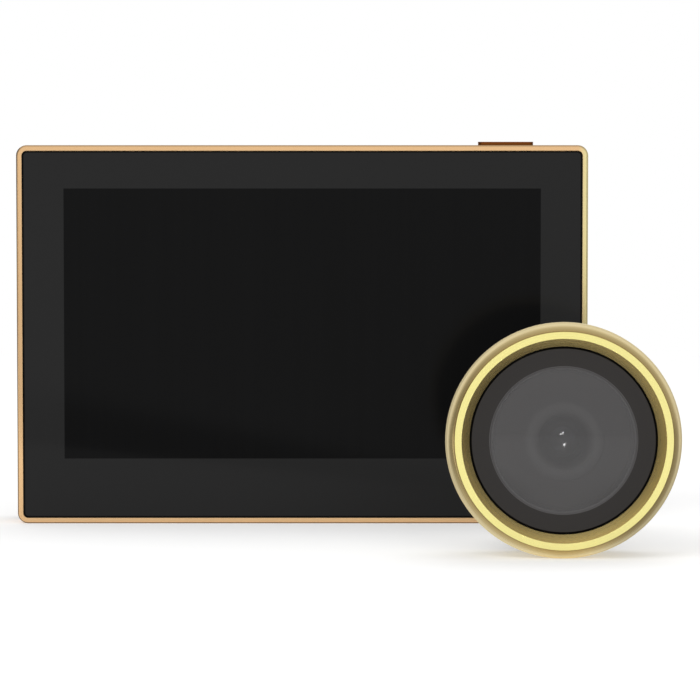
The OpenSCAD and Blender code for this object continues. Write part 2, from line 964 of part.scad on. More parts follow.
module sleeve_nut() {
    color("gold")
        translate([0, -monitor_d / 2, mid_z])
            rotate([-90, 0, 0])
                difference() {
                    // Flange, shoulder that turns in the bracket, and the sleeve with its lead-in
                    rotate_extrude()
                        polygon([[sleeve_bore_r, flange_at], [flange_r, flange_at],
                            [flange_r, flange_at + flange_t], [shoulder_r, flange_at + flange_t],
                            [shoulder_r, shoulder_back], [sleeve_r, shoulder_back],
                            [sleeve_r, sleeve_end - end_chamfer], [sleeve_r - end_chamfer, sleeve_end],
                            [sleeve_bore_r, sleeve_end]]);
                    // Spanner slots
                    for (s = [-1, 1])
                        translate([s * flange_r, 0, flange_at - eps])
                            linear_extrude(flange_t + 2 * eps)
                                square([2 * spanner_deep, spanner_w], center = true);
                }
}

module camera_bezel() {
    color("goldenrod")
        at_camera()
            difference() {
                union() {
                    rotate_extrude()
                        difference() {
                            polygon([[cell_bore, slope_d], [land_in, 0], [camera_r, 0],
                                [camera_r, rim_back], [door_r, bezel_d - rear_chamfer],
                                [door_r - rear_chamfer, bezel_d], [cavity_r, bezel_d],
                                [cavity_r, shelf], [cell_bore, shelf]]);
                            translate([camera_r, 0])
                                circle(cove_r);
                            polygon([[camera_r - rim_chamfer, 0], [camera_r + eps, 0],
                                [camera_r + eps, rim_at + rim_chamfer + eps],
                                [camera_r - rim_chamfer, rim_at]]);
                        }
                    // Bosses for the back screws
                    intersection() {
                        at_back_screws() {
                            translate([0, 0, back_boss_at])
                                cylinder(h = back_plate - back_boss_at, r = back_boss_r);
                            translate([0, -back_web, back_boss_at])
                                cube([2 * back_boss_in, 2 * back_web, back_plate - back_boss_at]);
                        }
                        cylinder(h = bezel_d, r = cavity_r + join);
                    }
                }
                at_back_screws()
                    translate([0, 0, back_plate - back_screw_l])
                        cylinder(h = back_screw_l + eps, r = back_screw_r + screw_gap);
            }
}

module cell_seal() {
    color("black")
        at_camera()
            rotate_extrude()
                translate([cell_r + seal_gap, cell_front + seal_back])
                    square([seal_w - 2 * seal_gap, shelf - cell_front - seal_back]);
}

module lens_cell() {
    color("dimgray")
        at_camera()
            rotate_extrude()
                polygon([[lens_bore, cell_front], [cell_r, cell_front], [cell_r, shelf],
                    [cell_flange_r, shelf], [cell_flange_r, cell_back], [baffle_bore, cell_back],
                    [baffle_bore, lens_seat], [lens_bore, lens_seat]]);
}

module front_lens() {
    color("gray")
        at_camera()
            rotate_extrude()
                difference() {
                    intersection() {
                        translate([0, lens_apex])
                            square([lens_r, lens_seat - lens_apex]);
                        translate([0, lens_apex + lens_ball])
                            circle(lens_ball, $fn = 960);
                    }
                    translate([0, lens_seat - meniscus_sag + meniscus_ball])
                        circle(meniscus_ball, $fn = 480);
                }
}

module light_baffle() {
    color("gray")
        at_camera()
            rotate_extrude()
                polygon([[step_1, baffle_front], [baffle_r, baffle_front], [baffle_r, cell_back],
                    [baffle_waist, cell_back], [baffle_waist, baffle_back], [step_3, baffle_back],
                    [step_3, baffle_front + 2 * baffle_step], [step_2, baffle_front + 2 * baffle_step],
                    [step_2, baffle_front + baffle_step], [step_1, baffle_front + baffle_step]]);
}

module objective_lens() {
    color("lightblue")
        at_camera()
            rotate_extrude()
                intersection() {
                    translate([0, objective_edge - objective_sag])
                        square([objective_r - lay_gap, objective_seat - objective_edge + objective_sag]);
                    translate([0, objective_edge - objective_sag + objective_ball])
                        circle(objective_ball, $fn = 240);
                }
}

module lens_barrel() {
    color("black")
        at_camera()
            rotate_extrude()
                polygon([[objective_r, barrel_nose], [barrel_nose_r, barrel_nose],
                    [barrel_nose_r, barrel_collar], [barrel_collar_r, barrel_collar],
                    [barrel_collar_r, barrel_thread], [barrel_thread_r, barrel_thread],
                    [barrel_thread_r, barrel_end], [rear_lens_r, barrel_end],
                    [rear_lens_r, rear_lens_at], [rear_lens_r - rear_lens_step, rear_lens_at],
                    [rear_lens_r - rear_lens_step, objective_seat], [objective_r, objective_seat]]);
}

module rear_lens() {
    color("lightblue")
        at_camera()
            rotate_extrude()
                intersection() {
                    translate([0, rear_lens_at])
                        square([rear_lens_r - lay_gap, rear_lens_t + rear_lens_sag]);
                    translate([0, rear_lens_at + rear_lens_t + rear_lens_sag - rear_lens_ball])
                        circle(rear_lens_ball, $fn = 240);
                }
}

module lens_holder() {
    color("darkslategray")
        at_camera()
            difference() {
                translate([-holder_w / 2, -holder_w / 2, holder_front])
                    cube([holder_w, holder_w, sensor_back - holder_front]);
                translate([0, 0, holder_front - eps])
                    cylinder(h = barrel_end - holder_front + 2 * eps, r = barrel_thread_r + screw_gap);
                translate([-holder_room / 2, -holder_room / 2, barrel_end])
                    cube([holder_room, holder_room, sensor_back - barrel_end + eps]);
            }
}

module image_sensor() {
    color("midnightblue")
        at_camera()
            translate([-sensor_w / 2, -sensor_w / 2, sensor_front])
                cube([sensor_w, sensor_w, sensor_t]);
}

module sensor_board() {
    color("darkgreen")
        at_camera()
            translate([0, 0, sensor_back])
                difference() {
                    cylinder(h = sensor_board_t, r = sensor_board_r);
                    at_sensor_screws()
                        translate([0, 0, -eps])
                            cylinder(h = sensor_board_t + 2 * eps, r = sensor_hole);
                }
}

module sensor_screws() {
    color("silver")
        at_camera()
            difference() {
                union() {
                    at_sensor_screws() {
                        translate([0, 0, sensor_back - sensor_head_t])
                            cylinder(h = sensor_head_t, r = sensor_head_r);
                        translate([0, 0, sensor_back - join])
                            cylinder(h = back_plate + sensor_bite - sensor_back + join, r = sensor_screw_r);
                    }
                }
                at_sensor_screws()
                    translate([0, 0, sensor_back - sensor_head_t - eps])
                        linear_extrude(eps + sensor_head_t / 2)
                            cross_slot(sensor_head_r);
            }
}

module ribbon_connector() {
    color("beige")
        at_camera()
            difference() {
                translate([-connector_w / 2, -connector_d / 2, sensor_board_back])
                    cube([connector_w, connector_d, connector_t]);
                translate([-connector_w / 2 + connector_cheek, -connector_slot / 2,
                    sensor_board_back + connector_t / 3])
                    cube([connector_w - 2 * connector_cheek, connector_slot, connector_t]);
            }
}

module camera_back() {
    color("dimgray")
        at_camera()
            difference() {
                union() {
                    translate([0, 0, back_plate])
                        cylinder(h = back_plate_t, r = back_plate_r);
                    // Stub with its lead-in
                    rotate_extrude()
                        polygon([[0, back_plate + join], [stub_r, back_plate + join],
                            [stub_r, stub_end - end_chamfer], [stub_r - end_chamfer, stub_end],
                            [0, stub_end]]);
                    at_sensor_screws()
                        translate([0, 0, sensor_board_back])
                            cylinder(h = back_plate - sensor_board_back + join, r = standoff_r);
                }
                translate([0, 0, back_plate - eps])
                    cylinder(h = stub_end - back_plate + 2 * eps, r = stub_bore_r);
                at_sensor_screws()
                    translate([0, 0, sensor_board_back - eps])
                        cylinder(h = back_plate - sensor_board_back + eps + sensor_pilot,
                            r = sensor_screw_r + screw_gap);
                at_back_screws() {
                    translate([0, 0, back_plate - eps])
                        cylinder(h = back_plate_t + 2 * eps, r = back_hole);
                    translate([0, 0, bezel_d - back_head_sunk - back_head_t])
                        cylinder(h = back_head_t + back_head_sunk + eps, r = back_head_r + slide_gap);
                }
            }
}

module back_screws() {
    color("silver")
        at_camera()
            difference() {
                union() {
                    at_back_screws() {
                        translate([0, 0, bezel_d - back_head_sunk - back_head_t])
                            cylinder(h = back_head_t, r = back_head_r);
                        translate([0, 0, back_plate - back_screw_l + pilot_more])
                            cylinder(h = back_screw_l - pilot_more + back_plate_t - back_head_sunk
                                - back_head_t + join, r = back_screw_r);
                    }
                }
                at_back_screws()
                    translate([0, 0, bezel_d - back_head_sunk - back_head_t / 2])
                        linear_extrude(eps + back_head_t / 2)
                            cross_slot(back_head_r);
            }
}

module door_gasket() {
    color("black")
        at_camera()
            translate([0, 0, bezel_d])
                linear_extrude(gasket_t)
                    difference() {
                        circle(gasket_r);
                        circle(gasket_bore);
                    }
}

front_frame();
front_glass();
glass_tape();
optical_adhesive();
display_cell();
backlight();
main_board();
board_chips();
board_screws();
ribbon_socket();
usb_socket();
card_socket();
button_switch();
switch_plunger();
power_button();
battery();
battery_pad();
speaker();
rear_housing();
housing_screws();
mounting_bracket();
door_pad();
sleeve_nut();
camera_bezel();
cell_seal();
lens_cell();
front_lens();
light_baffle();
objective_lens();
lens_barrel();
rear_lens();
lens_holder();
image_sensor();
sensor_board();
sensor_screws();
ribbon_connector();
camera_back();
back_screws();
door_gasket();
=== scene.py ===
import math

import bmesh
import bpy
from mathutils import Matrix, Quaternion, Vector


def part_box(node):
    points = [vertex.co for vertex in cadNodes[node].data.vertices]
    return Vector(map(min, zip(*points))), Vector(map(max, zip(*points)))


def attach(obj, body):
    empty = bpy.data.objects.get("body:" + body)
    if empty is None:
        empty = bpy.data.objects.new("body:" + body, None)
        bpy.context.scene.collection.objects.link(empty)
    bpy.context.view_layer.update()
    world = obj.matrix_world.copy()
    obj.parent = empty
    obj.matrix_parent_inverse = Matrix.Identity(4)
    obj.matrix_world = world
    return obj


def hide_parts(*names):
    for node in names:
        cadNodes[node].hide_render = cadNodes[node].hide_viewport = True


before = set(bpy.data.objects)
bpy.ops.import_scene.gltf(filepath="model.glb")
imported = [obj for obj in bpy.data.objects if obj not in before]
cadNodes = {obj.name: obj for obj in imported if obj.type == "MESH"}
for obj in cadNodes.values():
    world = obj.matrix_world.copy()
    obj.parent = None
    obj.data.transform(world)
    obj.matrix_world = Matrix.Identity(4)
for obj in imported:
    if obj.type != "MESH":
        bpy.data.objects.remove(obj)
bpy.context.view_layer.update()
print("frame loaded with", len(cadNodes), "pieces")


# One output of a node, which adds, scales and compares like a number
class Wire:
    def __init__(self, recipe, socket):
        self.recipe = recipe
        self.socket = socket

    def __add__(self, other):
        return self.recipe.maths("ADD", self, other)

    def __radd__(self, other):
        return self.recipe.maths("ADD", other, self)

    def __sub__(self, other):
        return self.recipe.maths("SUBTRACT", self, other)

    def __rsub__(self, other):
        return self.recipe.maths("SUBTRACT", other, self)

    def __mul__(self, other):
        return self.recipe.maths("MULTIPLY", self, other)

    def __rmul__(self, other):
        return self.recipe.maths("MULTIPLY", other, self)

    def __truediv__(self, other):
        return self.recipe.maths("DIVIDE", self, other)

    def __rtruediv__(self, other):
        return self.recipe.maths("DIVIDE", other, self)

    def __pow__(self, other):
        return self.recipe.maths("POWER", self, other)

    def __rpow__(self, other):
        return self.recipe.maths("POWER", other, self)

    def __gt__(self, other):
        return self.recipe.maths("GREATER_THAN", self, other)

    def __lt__(self, other):
        return self.recipe.maths("LESS_THAN", self, other)

    def __neg__(self):
        return self.recipe.maths("MULTIPLY", self, -1.0)

    def __abs__(self):
        return self.recipe.maths("ABSOLUTE", self)


# The nodes of one material, or of the world
class Recipe:
    def __init__(self, tree):
        self.tree = tree
        self.tree.nodes.clear()

    def feed(self, socket, value):
        if isinstance(value, Wire):
            self.tree.links.new(value.socket, socket)
        elif socket.type == "RGBA" and len(value) == 3:
            socket.default_value = (*value, 1.0)
        else:
            socket.default_value = value

    # every node is made here: its settings are set first, then its sockets
    def node(self, kind, settings=None, sockets=None, out=0):
        made = self.tree.nodes.new("ShaderNode" + kind)
        for key, value in (settings or {}).items():
            setattr(made, key, value)
        for key, value in (sockets or {}).items():
            self.feed(made.inputs[key], value)
        return Wire(self, made.outputs[out] if made.outputs else None)

    def maths(self, operation, *values):
        return self.node("Math", {"operation": operation}, dict(enumerate(values)))

    def larger(self, first, second):
        return self.maths("MAXIMUM", first, second)

    def smaller(self, first, second):
        return self.maths("MINIMUM", first, second)

    def vectors(self, operation, *values, out="Vector"):
        return self.node("VectorMath", {"operation": operation}, dict(enumerate(values)), out)

    def blend(self, factor, first, second):
        return self.node("Mix", {"data_type": "RGBA"}, {0: factor, 6: first, 7: second}, out=2)

    def place(self):
        return self.node("TexCoord", out="Object")

    def normal(self):
        return self.node("NewGeometry", out="Normal")

    def split(self, vector):
        outputs = self.node("SeparateXYZ", None, {0: vector}).socket.node.outputs
        return [Wire(self, outputs[axis]) for axis in "XYZ"]

    def noise(self, vector, scale, detail=2.0):
        sockets = {"Vector": vector, "Scale": scale, "Detail": detail}
        return self.node("TexNoise", None, sockets, "Fac")

    # noise with a scale of its own along each axis
    def drawn(self, vector, scales, detail=2.0):
        return self.noise(self.vectors("MULTIPLY", vector, scales), 1.0, detail)

    # noise along one measure only
    def streaks(self, along, scale, detail=2.0):
        sockets = {"W": along, "Scale": scale, "Detail": detail}
        return self.node("TexNoise", {"noise_dimensions": "1D"}, sockets, "Fac")

    def cells(self, vector, scale, feature="F1"):
        sockets = {"Vector": vector, "Scale": scale}
        return self.node("TexVoronoi", {"feature": feature}, sockets, "Distance")

    # start below low, end above high, with a soft change between
    def between(self, value, low, high, start=0.0, end=1.0):
        sockets = {"Value": value, "From Min": low, "From Max": high, "To Min": start, "To Max": end}
        return self.node("MapRange", {"interpolation_type": "SMOOTHSTEP"}, sockets)

    def lerp(self, factor, start, end):
        return self.node("MapRange", None, {"Value": factor, "To Min": start, "To Max": end})

    # normals rounded over the edges, and a mask of those edges
    def roundedEdges(self, radius):
        rounded = self.node("Bevel", {"samples": 6}, {"Radius": radius})
        alike = self.vectors("DOT_PRODUCT", rounded, self.normal(), out="Value")
        return rounded, self.between(1.0 - alike, 0.01, 0.22)

    # 1 on faces that look sideways, up or down, 0 on those that look to the front or the back
    def sideFaces(self):
        return abs(self.split(self.normal())[1]) < 0.5

    def bump(self, height, distance, normal=None):
        sockets = {"Height": height, "Distance": distance, "Strength": 1.0}
        if normal is not None:
            sockets["Normal"] = normal
        return self.node("Bump", None, sockets)

    # light of its own, from none at 0 to white at 1
    def glow(self, level):
        colour = self.blend(level, (0.0, 0.0, 0.0), (1.0, 1.0, 1.0))
        return self.node("Emission", None, {"Color": colour, "Strength": 1.0})

    def show(self, shader):
        self.node("OutputMaterial", None, {"Surface": shader})

    def surface(self, sockets):
        self.show(self.node("BsdfPrincipled", None, sockets))


def newRecipe(name):
    material = bpy.data.materials.new(name)
    material.use_nodes = True
    return material, Recipe(material.node_tree)


def newMesh(name, points, faces, material):
    mesh = bpy.data.meshes.new(name)
    mesh.from_pydata(points, [], faces)
    mesh.materials.append(material)
    return mesh


def newObject(name, data):
    made = bpy.data.objects.new(name, data)
    bpy.context.scene.collection.objects.link(made)
    return made


def dress(nodeName, material):
    for slot in cadNodes[nodeName].material_slots:
        slot.link = "OBJECT"
        slot.material = material


# distance from an axis that runs from front to back
def radiusFrom(recipe, place, axis):
    x, z = recipe.split(place)[::2]
    return ((x - axis.x) ** 2.0 + (z - axis.z) ** 2.0) ** 0.5


# the turn that points a camera or a lamp in a direction
def facing(way):
    return way.to_track_quat("-Z", "Y")


def middle(nodeName):
    low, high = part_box(nodeName)
    return (low + high) / 2


headAxis = middle("camera_bezel")
sleeveAxis = middle("sleeve_nut")
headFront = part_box("camera_bezel")[0].y


viewpoint = {
    "aim": (0.00952, -0.008, 0.03473),
    "distance": 0.700,
    "elevation": 3.23,
    "lens": 180.54,
    "sensor": 36.0,
    "clip": (0.01, 50.0),
}


def placeCamera():
    rise = math.radians(viewpoint["elevation"])
    away = Vector((0.0, -math.cos(rise), math.sin(rise)))
    eye = bpy.data.cameras.new("photoCamera")
    eye.sensor_width = viewpoint["sensor"]
    eye.lens = viewpoint["lens"]
    eye.clip_start, eye.clip_end = viewpoint["clip"]
    stand = newObject("photoCamera", eye)
    stand.location = Vector(viewpoint["aim"]) + away * viewpoint["distance"]
    stand.rotation_euler = facing(-away).to_euler()
    bpy.context.scene.camera = stand


placeCamera()
bpy.context.scene.view_settings.view_transform = "Standard"
print("camera placed")


studio = {
    "dome": 0.62,  # what the white room gives matt surfaces
    "floorTones": ((0.80, 0.80, 0.80), (0.816, 0.816, 0.816)),
    "floorFibre": 220.0,
    "floorLift": 0.30,
    "floorSize": 40.0,
    "floorFade": (0.16, 0.60),  # from here to there the paper turns to plain white
    "tentReach": 1.9,
    "tentRings": (48, 24),
    "tentSide": (0.35, 0.57),  # how bright metal sees the tent's left side and its right side
    "tentTop": 0.80,
    "tentFront": (0.22, 1.0),  # turned this far to the front or the back, the tent goes over to white
    "cards": [  # x of foot and reach is measured from the head's axis
        {"name": "rightCard", "foot": 0.001, "reach": 0.40, "tall": 0.05, "back": 0.10, "soft": 0.016,
         "cover": 0.009, "front": (-0.096, -0.45), "grey": (0.80, 0.42)},
        {"name": "leftCard", "foot": -0.001, "reach": -0.45, "tall": 0.05, "back": -0.058, "soft": 0.066,
         "cover": 0.012, "front": (-0.107, -0.54), "grey": (0.80, 0.38)},
    ],
    "cardLift": 0.0002,  # of the foot, off the floor
    "cardFade": 0.042,  # clear at the front edge, full from there back
    "softboxes": [
        {"name": "keyBox", "place": (-0.75, -0.85, 1.05), "size": (0.9, 0.7), "power": 5.2},
        {"name": "topBox", "place": (0.25, 0.35, 1.35), "size": (1.1, 0.9), "power": 4.6},
        {"name": "fillBox", "place": (0.45, -1.15, 0.55), "size": (0.6, 0.8), "power": 2.2},
    ],
    "aim": (0.01, -0.02, 0.03),
    "glints": [
        {"name": "upperGlint", "spot": (-0.00036, 0.00140), "size": (0.0044, 0.0008),
         "turn": 28.0, "power": 0.00026},
        {"name": "lowerGlint", "spot": (0.00009, -0.00066), "size": (0.0024, 0.0024),
         "turn": 0.0, "power": 0.00031},
    ],
    "glintAway": 0.15,
}


# 1 for the rays that see the white background itself
def seenRays(recipe):
    rays = recipe.node("LightPath").socket.node.outputs
    names = ("Is Camera Ray", "Is Glossy Ray", "Is Transmission Ray")
    camera, glossy, through = (Wire(recipe, rays[name]) for name in names)
    return recipe.larger(recipe.larger(camera, glossy), through)


def buildWorld():
    world = bpy.data.worlds.new("whiteRoom")
    world.use_nodes = True
    bpy.context.scene.world = world
    recipe = Recipe(world.node_tree)
    strength = recipe.lerp(seenRays(recipe), studio["dome"], 1.0)
    sky = recipe.node("Background", None, {"Color": (1.0, 1.0, 1.0), "Strength": strength})
    recipe.node("OutputWorld", None, {"Surface": sky})


# pale paper that keeps the shadow and goes over to white further out
def buildFloor():
    material, recipe = newRecipe("palePaper")
    place = recipe.place()
    fibre = recipe.noise(place, studio["floorFibre"], 3.0)
    matt = recipe.node("BsdfDiffuse", None, {"Color": recipe.blend(fibre, *studio["floorTones"])})
    lift = recipe.glow(seenRays(recipe) * studio["floorLift"])
    near = recipe.node("AddShader", None, {0: matt, 1: lift})
    away = recipe.vectors("LENGTH", place, out="Value")
    far = recipe.between(away, *studio["floorFade"]) * seenRays(recipe)
    recipe.show(recipe.node("MixShader", None, {0: far, 1: near, 2: recipe.glow(1.0)}))
    material.cycles.emission_sampling = "NONE"
    half = studio["floorSize"] / 2
    corners = [(-half, -half, 0), (half, -half, 0), (half, half, 0), (-half, half, 0)]
    floor = newObject("paleFloor", newMesh("paleFloor", corners, [(0, 1, 2, 3)], material))


# a piece of the studio that only metal and glass reflect, and that lights nothing else
def showToMetal(piece):
    piece.visible_camera = False
    piece.visible_diffuse = False
    piece.visible_transmission = False
    piece.visible_shadow = False
    piece.data.materials[0].cycles.emission_sampling = "NONE"


# a round light tent: white before and behind, grey at its sides
def buildTent():
    material, recipe = newRecipe("tentCloth")
    across, ahead, up = recipe.split(recipe.vectors("NORMALIZE", recipe.place()))
    side = recipe.between(across, -1.0, 1.0, *studio["tentSide"])
    grey = recipe.lerp(up ** 2.0, side, studio["tentTop"])
    bright = recipe.between(abs(ahead), *studio["tentFront"])
    recipe.show(recipe.glow(grey + (1.0 - grey) * bright))
    mesh = newMesh("lightTent", [], [], material)
    around, upward = studio["tentRings"]
    build = bmesh.new()
    bmesh.ops.create_uvsphere(build, u_segments=around, v_segments=upward, radius=studio["tentReach"])
    build.to_mesh(mesh)
    build.free()
    showToMetal(newObject("lightTent", mesh))


# grey cards that rise from the floor beside the head and keep the sides of its rim dark
def buildCards():
    for card in studio["cards"]:
        front, farFront = card["front"]
        near, far = headAxis.x + card["foot"], headAxis.x + card["reach"]
        width = abs(far - near)
        material, recipe = newRecipe(card["name"])
        across, ahead = recipe.split(recipe.place())[:2]
        lean = (across - near) / (far - near)
        inside = ahead - lean * (farFront - front) - front
        grey = recipe.between(lean, 0.0, card["soft"] / width, *card["grey"])
        footCover = recipe.between(lean, 0.0, card["cover"] / width)
        cover = recipe.between(inside, 0.0, studio["cardFade"]) * footCover
        clear = recipe.node("BsdfTransparent")
        recipe.show(recipe.node("MixShader", None, {0: cover, 1: clear, 2: recipe.glow(grey)}))
        points = [(near, front, studio["cardLift"]), (near, card["back"], studio["cardLift"])]
        points += [(far, card["back"], card["tall"]), (far, farFront, card["tall"])]
        showToMetal(newObject(card["name"], newMesh(card["name"], points, [(0, 1, 2, 3)], material)))


def newLamp(look, shape, place, turn):
    lamp = bpy.data.lights.new(look["name"], "AREA")
    lamp.shape = shape
    lamp.size, lamp.size_y = look["size"]
    lamp.energy = look["power"]
    stand = newObject(look["name"], lamp)
    stand.location = place
    stand.rotation_euler = turn.to_euler()
    stand.visible_camera = False
    return stand


def hangSoftboxes():
    for box in studio["softboxes"]:
        place = Vector(box["place"])
        stand = newLamp(box, "RECTANGLE", place, facing(Vector(studio["aim"]) - place))
        stand.visible_glossy = False


# two tiny lamps beside the camera, each mirrored in one spot of the head's dome
def hangGlints():
    eye = bpy.context.scene.camera.location
    centre = domeCentre()
    apex = centre - Vector((0.0, frontDome["curve"], 0.0))
    for glint in studio["glints"]:
        across, up = glint["spot"]
        spot = apex + Vector((across, 0.0, up))
        normal = (spot - centre).normalized()
        view = (eye - spot).normalized()
        away = 2 * normal.dot(view) * normal - view
        turn = facing(-away) @ Quaternion((0.0, 0.0, 1.0), math.radians(glint["turn"]))
        newLamp(glint, "ELLIPSE", spot + away * studio["glintAway"], turn)


def buildStudio():
    buildWorld()
    buildFloor()
    buildTent()
    buildCards()
    hangSoftboxes()
    hangGlints()


frameGold = {
    "warm": (0.826, 0.53, 0.273),
    "pale": (0.84, 0.765, 0.38),
    "paleFrom": (0.0545, 0.0569),
    "paleWander": 0.001,
    "paleSide": 0.35,  # how much of the pale tint the side walls take
    "cloud": (0.62, 0.40, 0.20),
    "cloudShare": 0.10,
    "cloudScale": 55.0,
    "edge": (0.95, 0.74, 0.46),
    "edgeShare": 0.55,
    "edgePolish": 0.08,
    "edgeRadius": 0.00018,
    "wearAndPaintedShade": (0.11, 0.066, 0.034),  # painted shade: the chamfer's outer line is painted dark below and on the left, and less so on top
    "paintedShadeFrom": (0.00010, 0.00022),  # how far back from the front face
    "paintedShadeShare": 0.95,
    "paintedShadeTop": 0.40,
    "paintedShadeTurn": (0.25, 0.60),  # how far a face turns up, down or left to take the painted shade
    "chamferTurn": (0.30, 0.50),  # how far the chamfer turns to the front
    "flatTurn": (0.86, 0.97),  # and the flat face beside it
    "blast": 5200.0,
    "relief": 0.0000025,
    "rough": (0.27, 0.38),
}


def anodisedFrame():
    look = frameGold
    material, recipe = newRecipe("anodisedFrameGold")
    place = recipe.place()
    x, y = recipe.split(place)[:2]
    right, back, up = recipe.split(recipe.normal())
    rounded, edges = recipe.roundedEdges(look["edgeRadius"])
    cloud = recipe.noise(place, look["cloudScale"], 3.0)
    blast = recipe.noise(place, look["blast"])
    drift = recipe.between(x + (cloud - 0.5) * look["paleWander"], *look["paleFrom"])
    drift = drift * recipe.lerp(abs(back), look["paleSide"], 1.0)
    colour = recipe.blend(drift, look["warm"], look["pale"])
    colour = recipe.blend(edges * look["edgeShare"], colour, look["edge"])
    forward = -back
    chamfer = recipe.between(forward, *look["chamferTurn"])
    chamfer = chamfer * (1.0 - recipe.between(forward, *look["flatTurn"]))
    chamfer = chamfer * recipe.between(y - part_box("front_frame")[0].y, *look["paintedShadeFrom"])
    # painted shade on the chamfer's outer line: dark below and on the left, a smaller share on top
    start, end = look["paintedShadeTurn"]
    below = recipe.between(recipe.smaller(right, up), -end, -start, look["paintedShadeShare"], 0.0)
    above = recipe.between(up, start, end, 0.0, look["paintedShadeTop"])
    colour = recipe.blend(chamfer * recipe.larger(below, above), colour, look["wearAndPaintedShade"])
    colour = recipe.blend(cloud * look["cloudShare"], colour, look["cloud"])
    rough = recipe.lerp(blast * 0.6 + cloud * 0.4, *look["rough"])
    recipe.surface({
        "Base Color": colour,
        "Metallic": 1.0,
        "Roughness": rough - edges * look["edgePolish"],
        "Normal": recipe.bump(blast, look["relief"], rounded),
    })
    return material


bezelGold = {
    "face": (0.82, 0.68, 0.38),
    "shade": (0.70, 0.55, 0.28),
    "edge": (0.97, 0.86, 0.56),
    "rough": (0.20, 0.31),
    "turning": 5200.0,
    "edgeRadius": 0.00007,
}

backGold = {
    "face": (0.80, 0.68, 0.33),
    "shade": (0.62, 0.50, 0.23),
    "edge": (0.95, 0.85, 0.52),
    "rough": (0.28, 0.42),
    "turning": 3600.0,
    "edgeRadius": 0.00015,
}

sleeveBrass = {
    "face": (0.84, 0.63, 0.29),
    "shade": (0.60, 0.41, 0.16),
    "edge": (0.97, 0.83, 0.50),
    "rough": (0.24, 0.40),
    "turning": 2600.0,
    "edgeRadius": 0.00020,
}

# what the three turned pieces share
latheWork = {
    "coarse": 0.22,  # scale of the coarse lines, against the fine ones
    "coarseShare": 0.12,
    "cloudScale": 70.0,
    "cloudShare": 0.25,
    "edgeShare": 0.5,
    "edgePolish": 0.06,
    "relief": 0.000004,
}

# the head's front, from the lens outward: satin slope, cut bright land, cove with painted shade at its
# root, matt lip with a painted highlight
headFace = {
    "slope": (0.845, 0.672, 0.278),
    "slopeTo": 0.01869,
    "slopeCloud": 0.3,
    "slopeRough": 0.02,  # added to the gold's own
    "land": (0.876, 0.796, 0.297),
    "landTo": 0.01996,
    "landCloud": 0.2,
    "landDepth": 0.0021,
    # painted shade: the cove is painted dark bronze at its root, fading out towards the rim
    "root": (0.50, 0.375, 0.155),
    "coveTo": 0.02150,
    # painted highlight: the lip is painted lighter, towards this colour
    "lip": (0.97, 0.86, 0.56),
    "lipFrom": (0.0208, 0.0214),
    "lipBehind": (0.0021, 0.0034),
    "lipShare": 0.6,
    "lipRough": 0.35,
}


# plated gold, turned on a lathe: fine rings on the faces, fine lines round the side
def turnedGold(name, look, axis, face=None):
    look = {**latheWork, **look}
    material, recipe = newRecipe(name)
    place = recipe.place()
    radius = radiusFrom(recipe, place, axis)
    depth = recipe.split(place)[1]
    along = radius + depth
    rounded, edges = recipe.roundedEdges(look["edgeRadius"])
    fine = recipe.streaks(along, look["turning"])
    coarse = recipe.streaks(along, look["turning"] * look["coarse"], 1.0)
    cloud = recipe.noise(place, look["cloudScale"], 3.0)
    colour = recipe.blend(cloud * look["cloudShare"], look["face"], look["shade"])
    colour = recipe.blend(coarse * look["coarseShare"], colour, look["shade"])
    colour = recipe.blend(edges * look["edgeShare"], colour, look["edge"])
    rough = recipe.lerp(fine * 0.5 + cloud * 0.5, *look["rough"]) - edges * look["edgePolish"]
    if face:
        # painted shade: the cove darkens towards its root
        cove = recipe.blend(recipe.between(radius, face["landTo"], face["coveTo"]), face["root"], colour)
        land = recipe.blend(cloud * face["landCloud"], face["land"], look["face"])
        slope = recipe.blend(cloud * face["slopeCloud"], face["slope"], face["root"])
        inner = recipe.blend(radius > face["slopeTo"], slope, land)
        front = recipe.blend(radius > face["landTo"], inner, cove)
        colour = recipe.blend(depth > headFront + face["landDepth"], front, colour)
        # painted highlight on the lip, which is also made rougher
        behind = recipe.between(depth - headFront, *face["lipBehind"])
        lip = recipe.between(radius, *face["lipFrom"]) * (1.0 - behind)
        colour = recipe.blend(lip * face["lipShare"], colour, face["lip"])
        rough = rough + (radius < face["slopeTo"]) * face["slopeRough"] + lip * face["lipRough"]
    recipe.surface({
        "Base Color": colour,
        "Metallic": 1.0,
        "Roughness": rough,
        "Normal": recipe.bump(fine * 0.6 + coarse * 0.4, look["relief"], rounded),
    })
    return material


# painted shade: the button is coloured a dark copper brown, far darker than the gold frame, for the shade
# it sits in
buttonShadedCopper = {
    "face": (0.215, 0.066, 0.010),
    "edge": (0.46, 0.19, 0.060),
    "edgeShare": 0.7,
    "edgeRadius": 0.00020,
    "streak": (0.15, 0.048, 0.016),
    "streakShare": 0.25,
    "brushing": (120.0, 4200.0, 4200.0),
    "clouds": 160.0,
    "relief": 0.000003,
    "rough": (0.30, 0.44),
}


def shadedCopperButton():
    look = buttonShadedCopper
    material, recipe = newRecipe("paintedShadeCopperBrown")
    place = recipe.place()
    rounded, edges = recipe.roundedEdges(look["edgeRadius"])
    brushed = recipe.drawn(place, look["brushing"], 3.0)
    cloud = recipe.noise(place, look["clouds"])
    colour = recipe.blend(edges * look["edgeShare"], look["face"], look["edge"])
    recipe.surface({
        "Base Color": recipe.blend(brushed * look["streakShare"], colour, look["streak"]),
        "Metallic": 1.0,
        "Roughness": recipe.lerp(brushed * 0.7 + cloud * 0.3, *look["rough"]),
        "Normal": recipe.bump(brushed, look["relief"], rounded),
    })
    return material


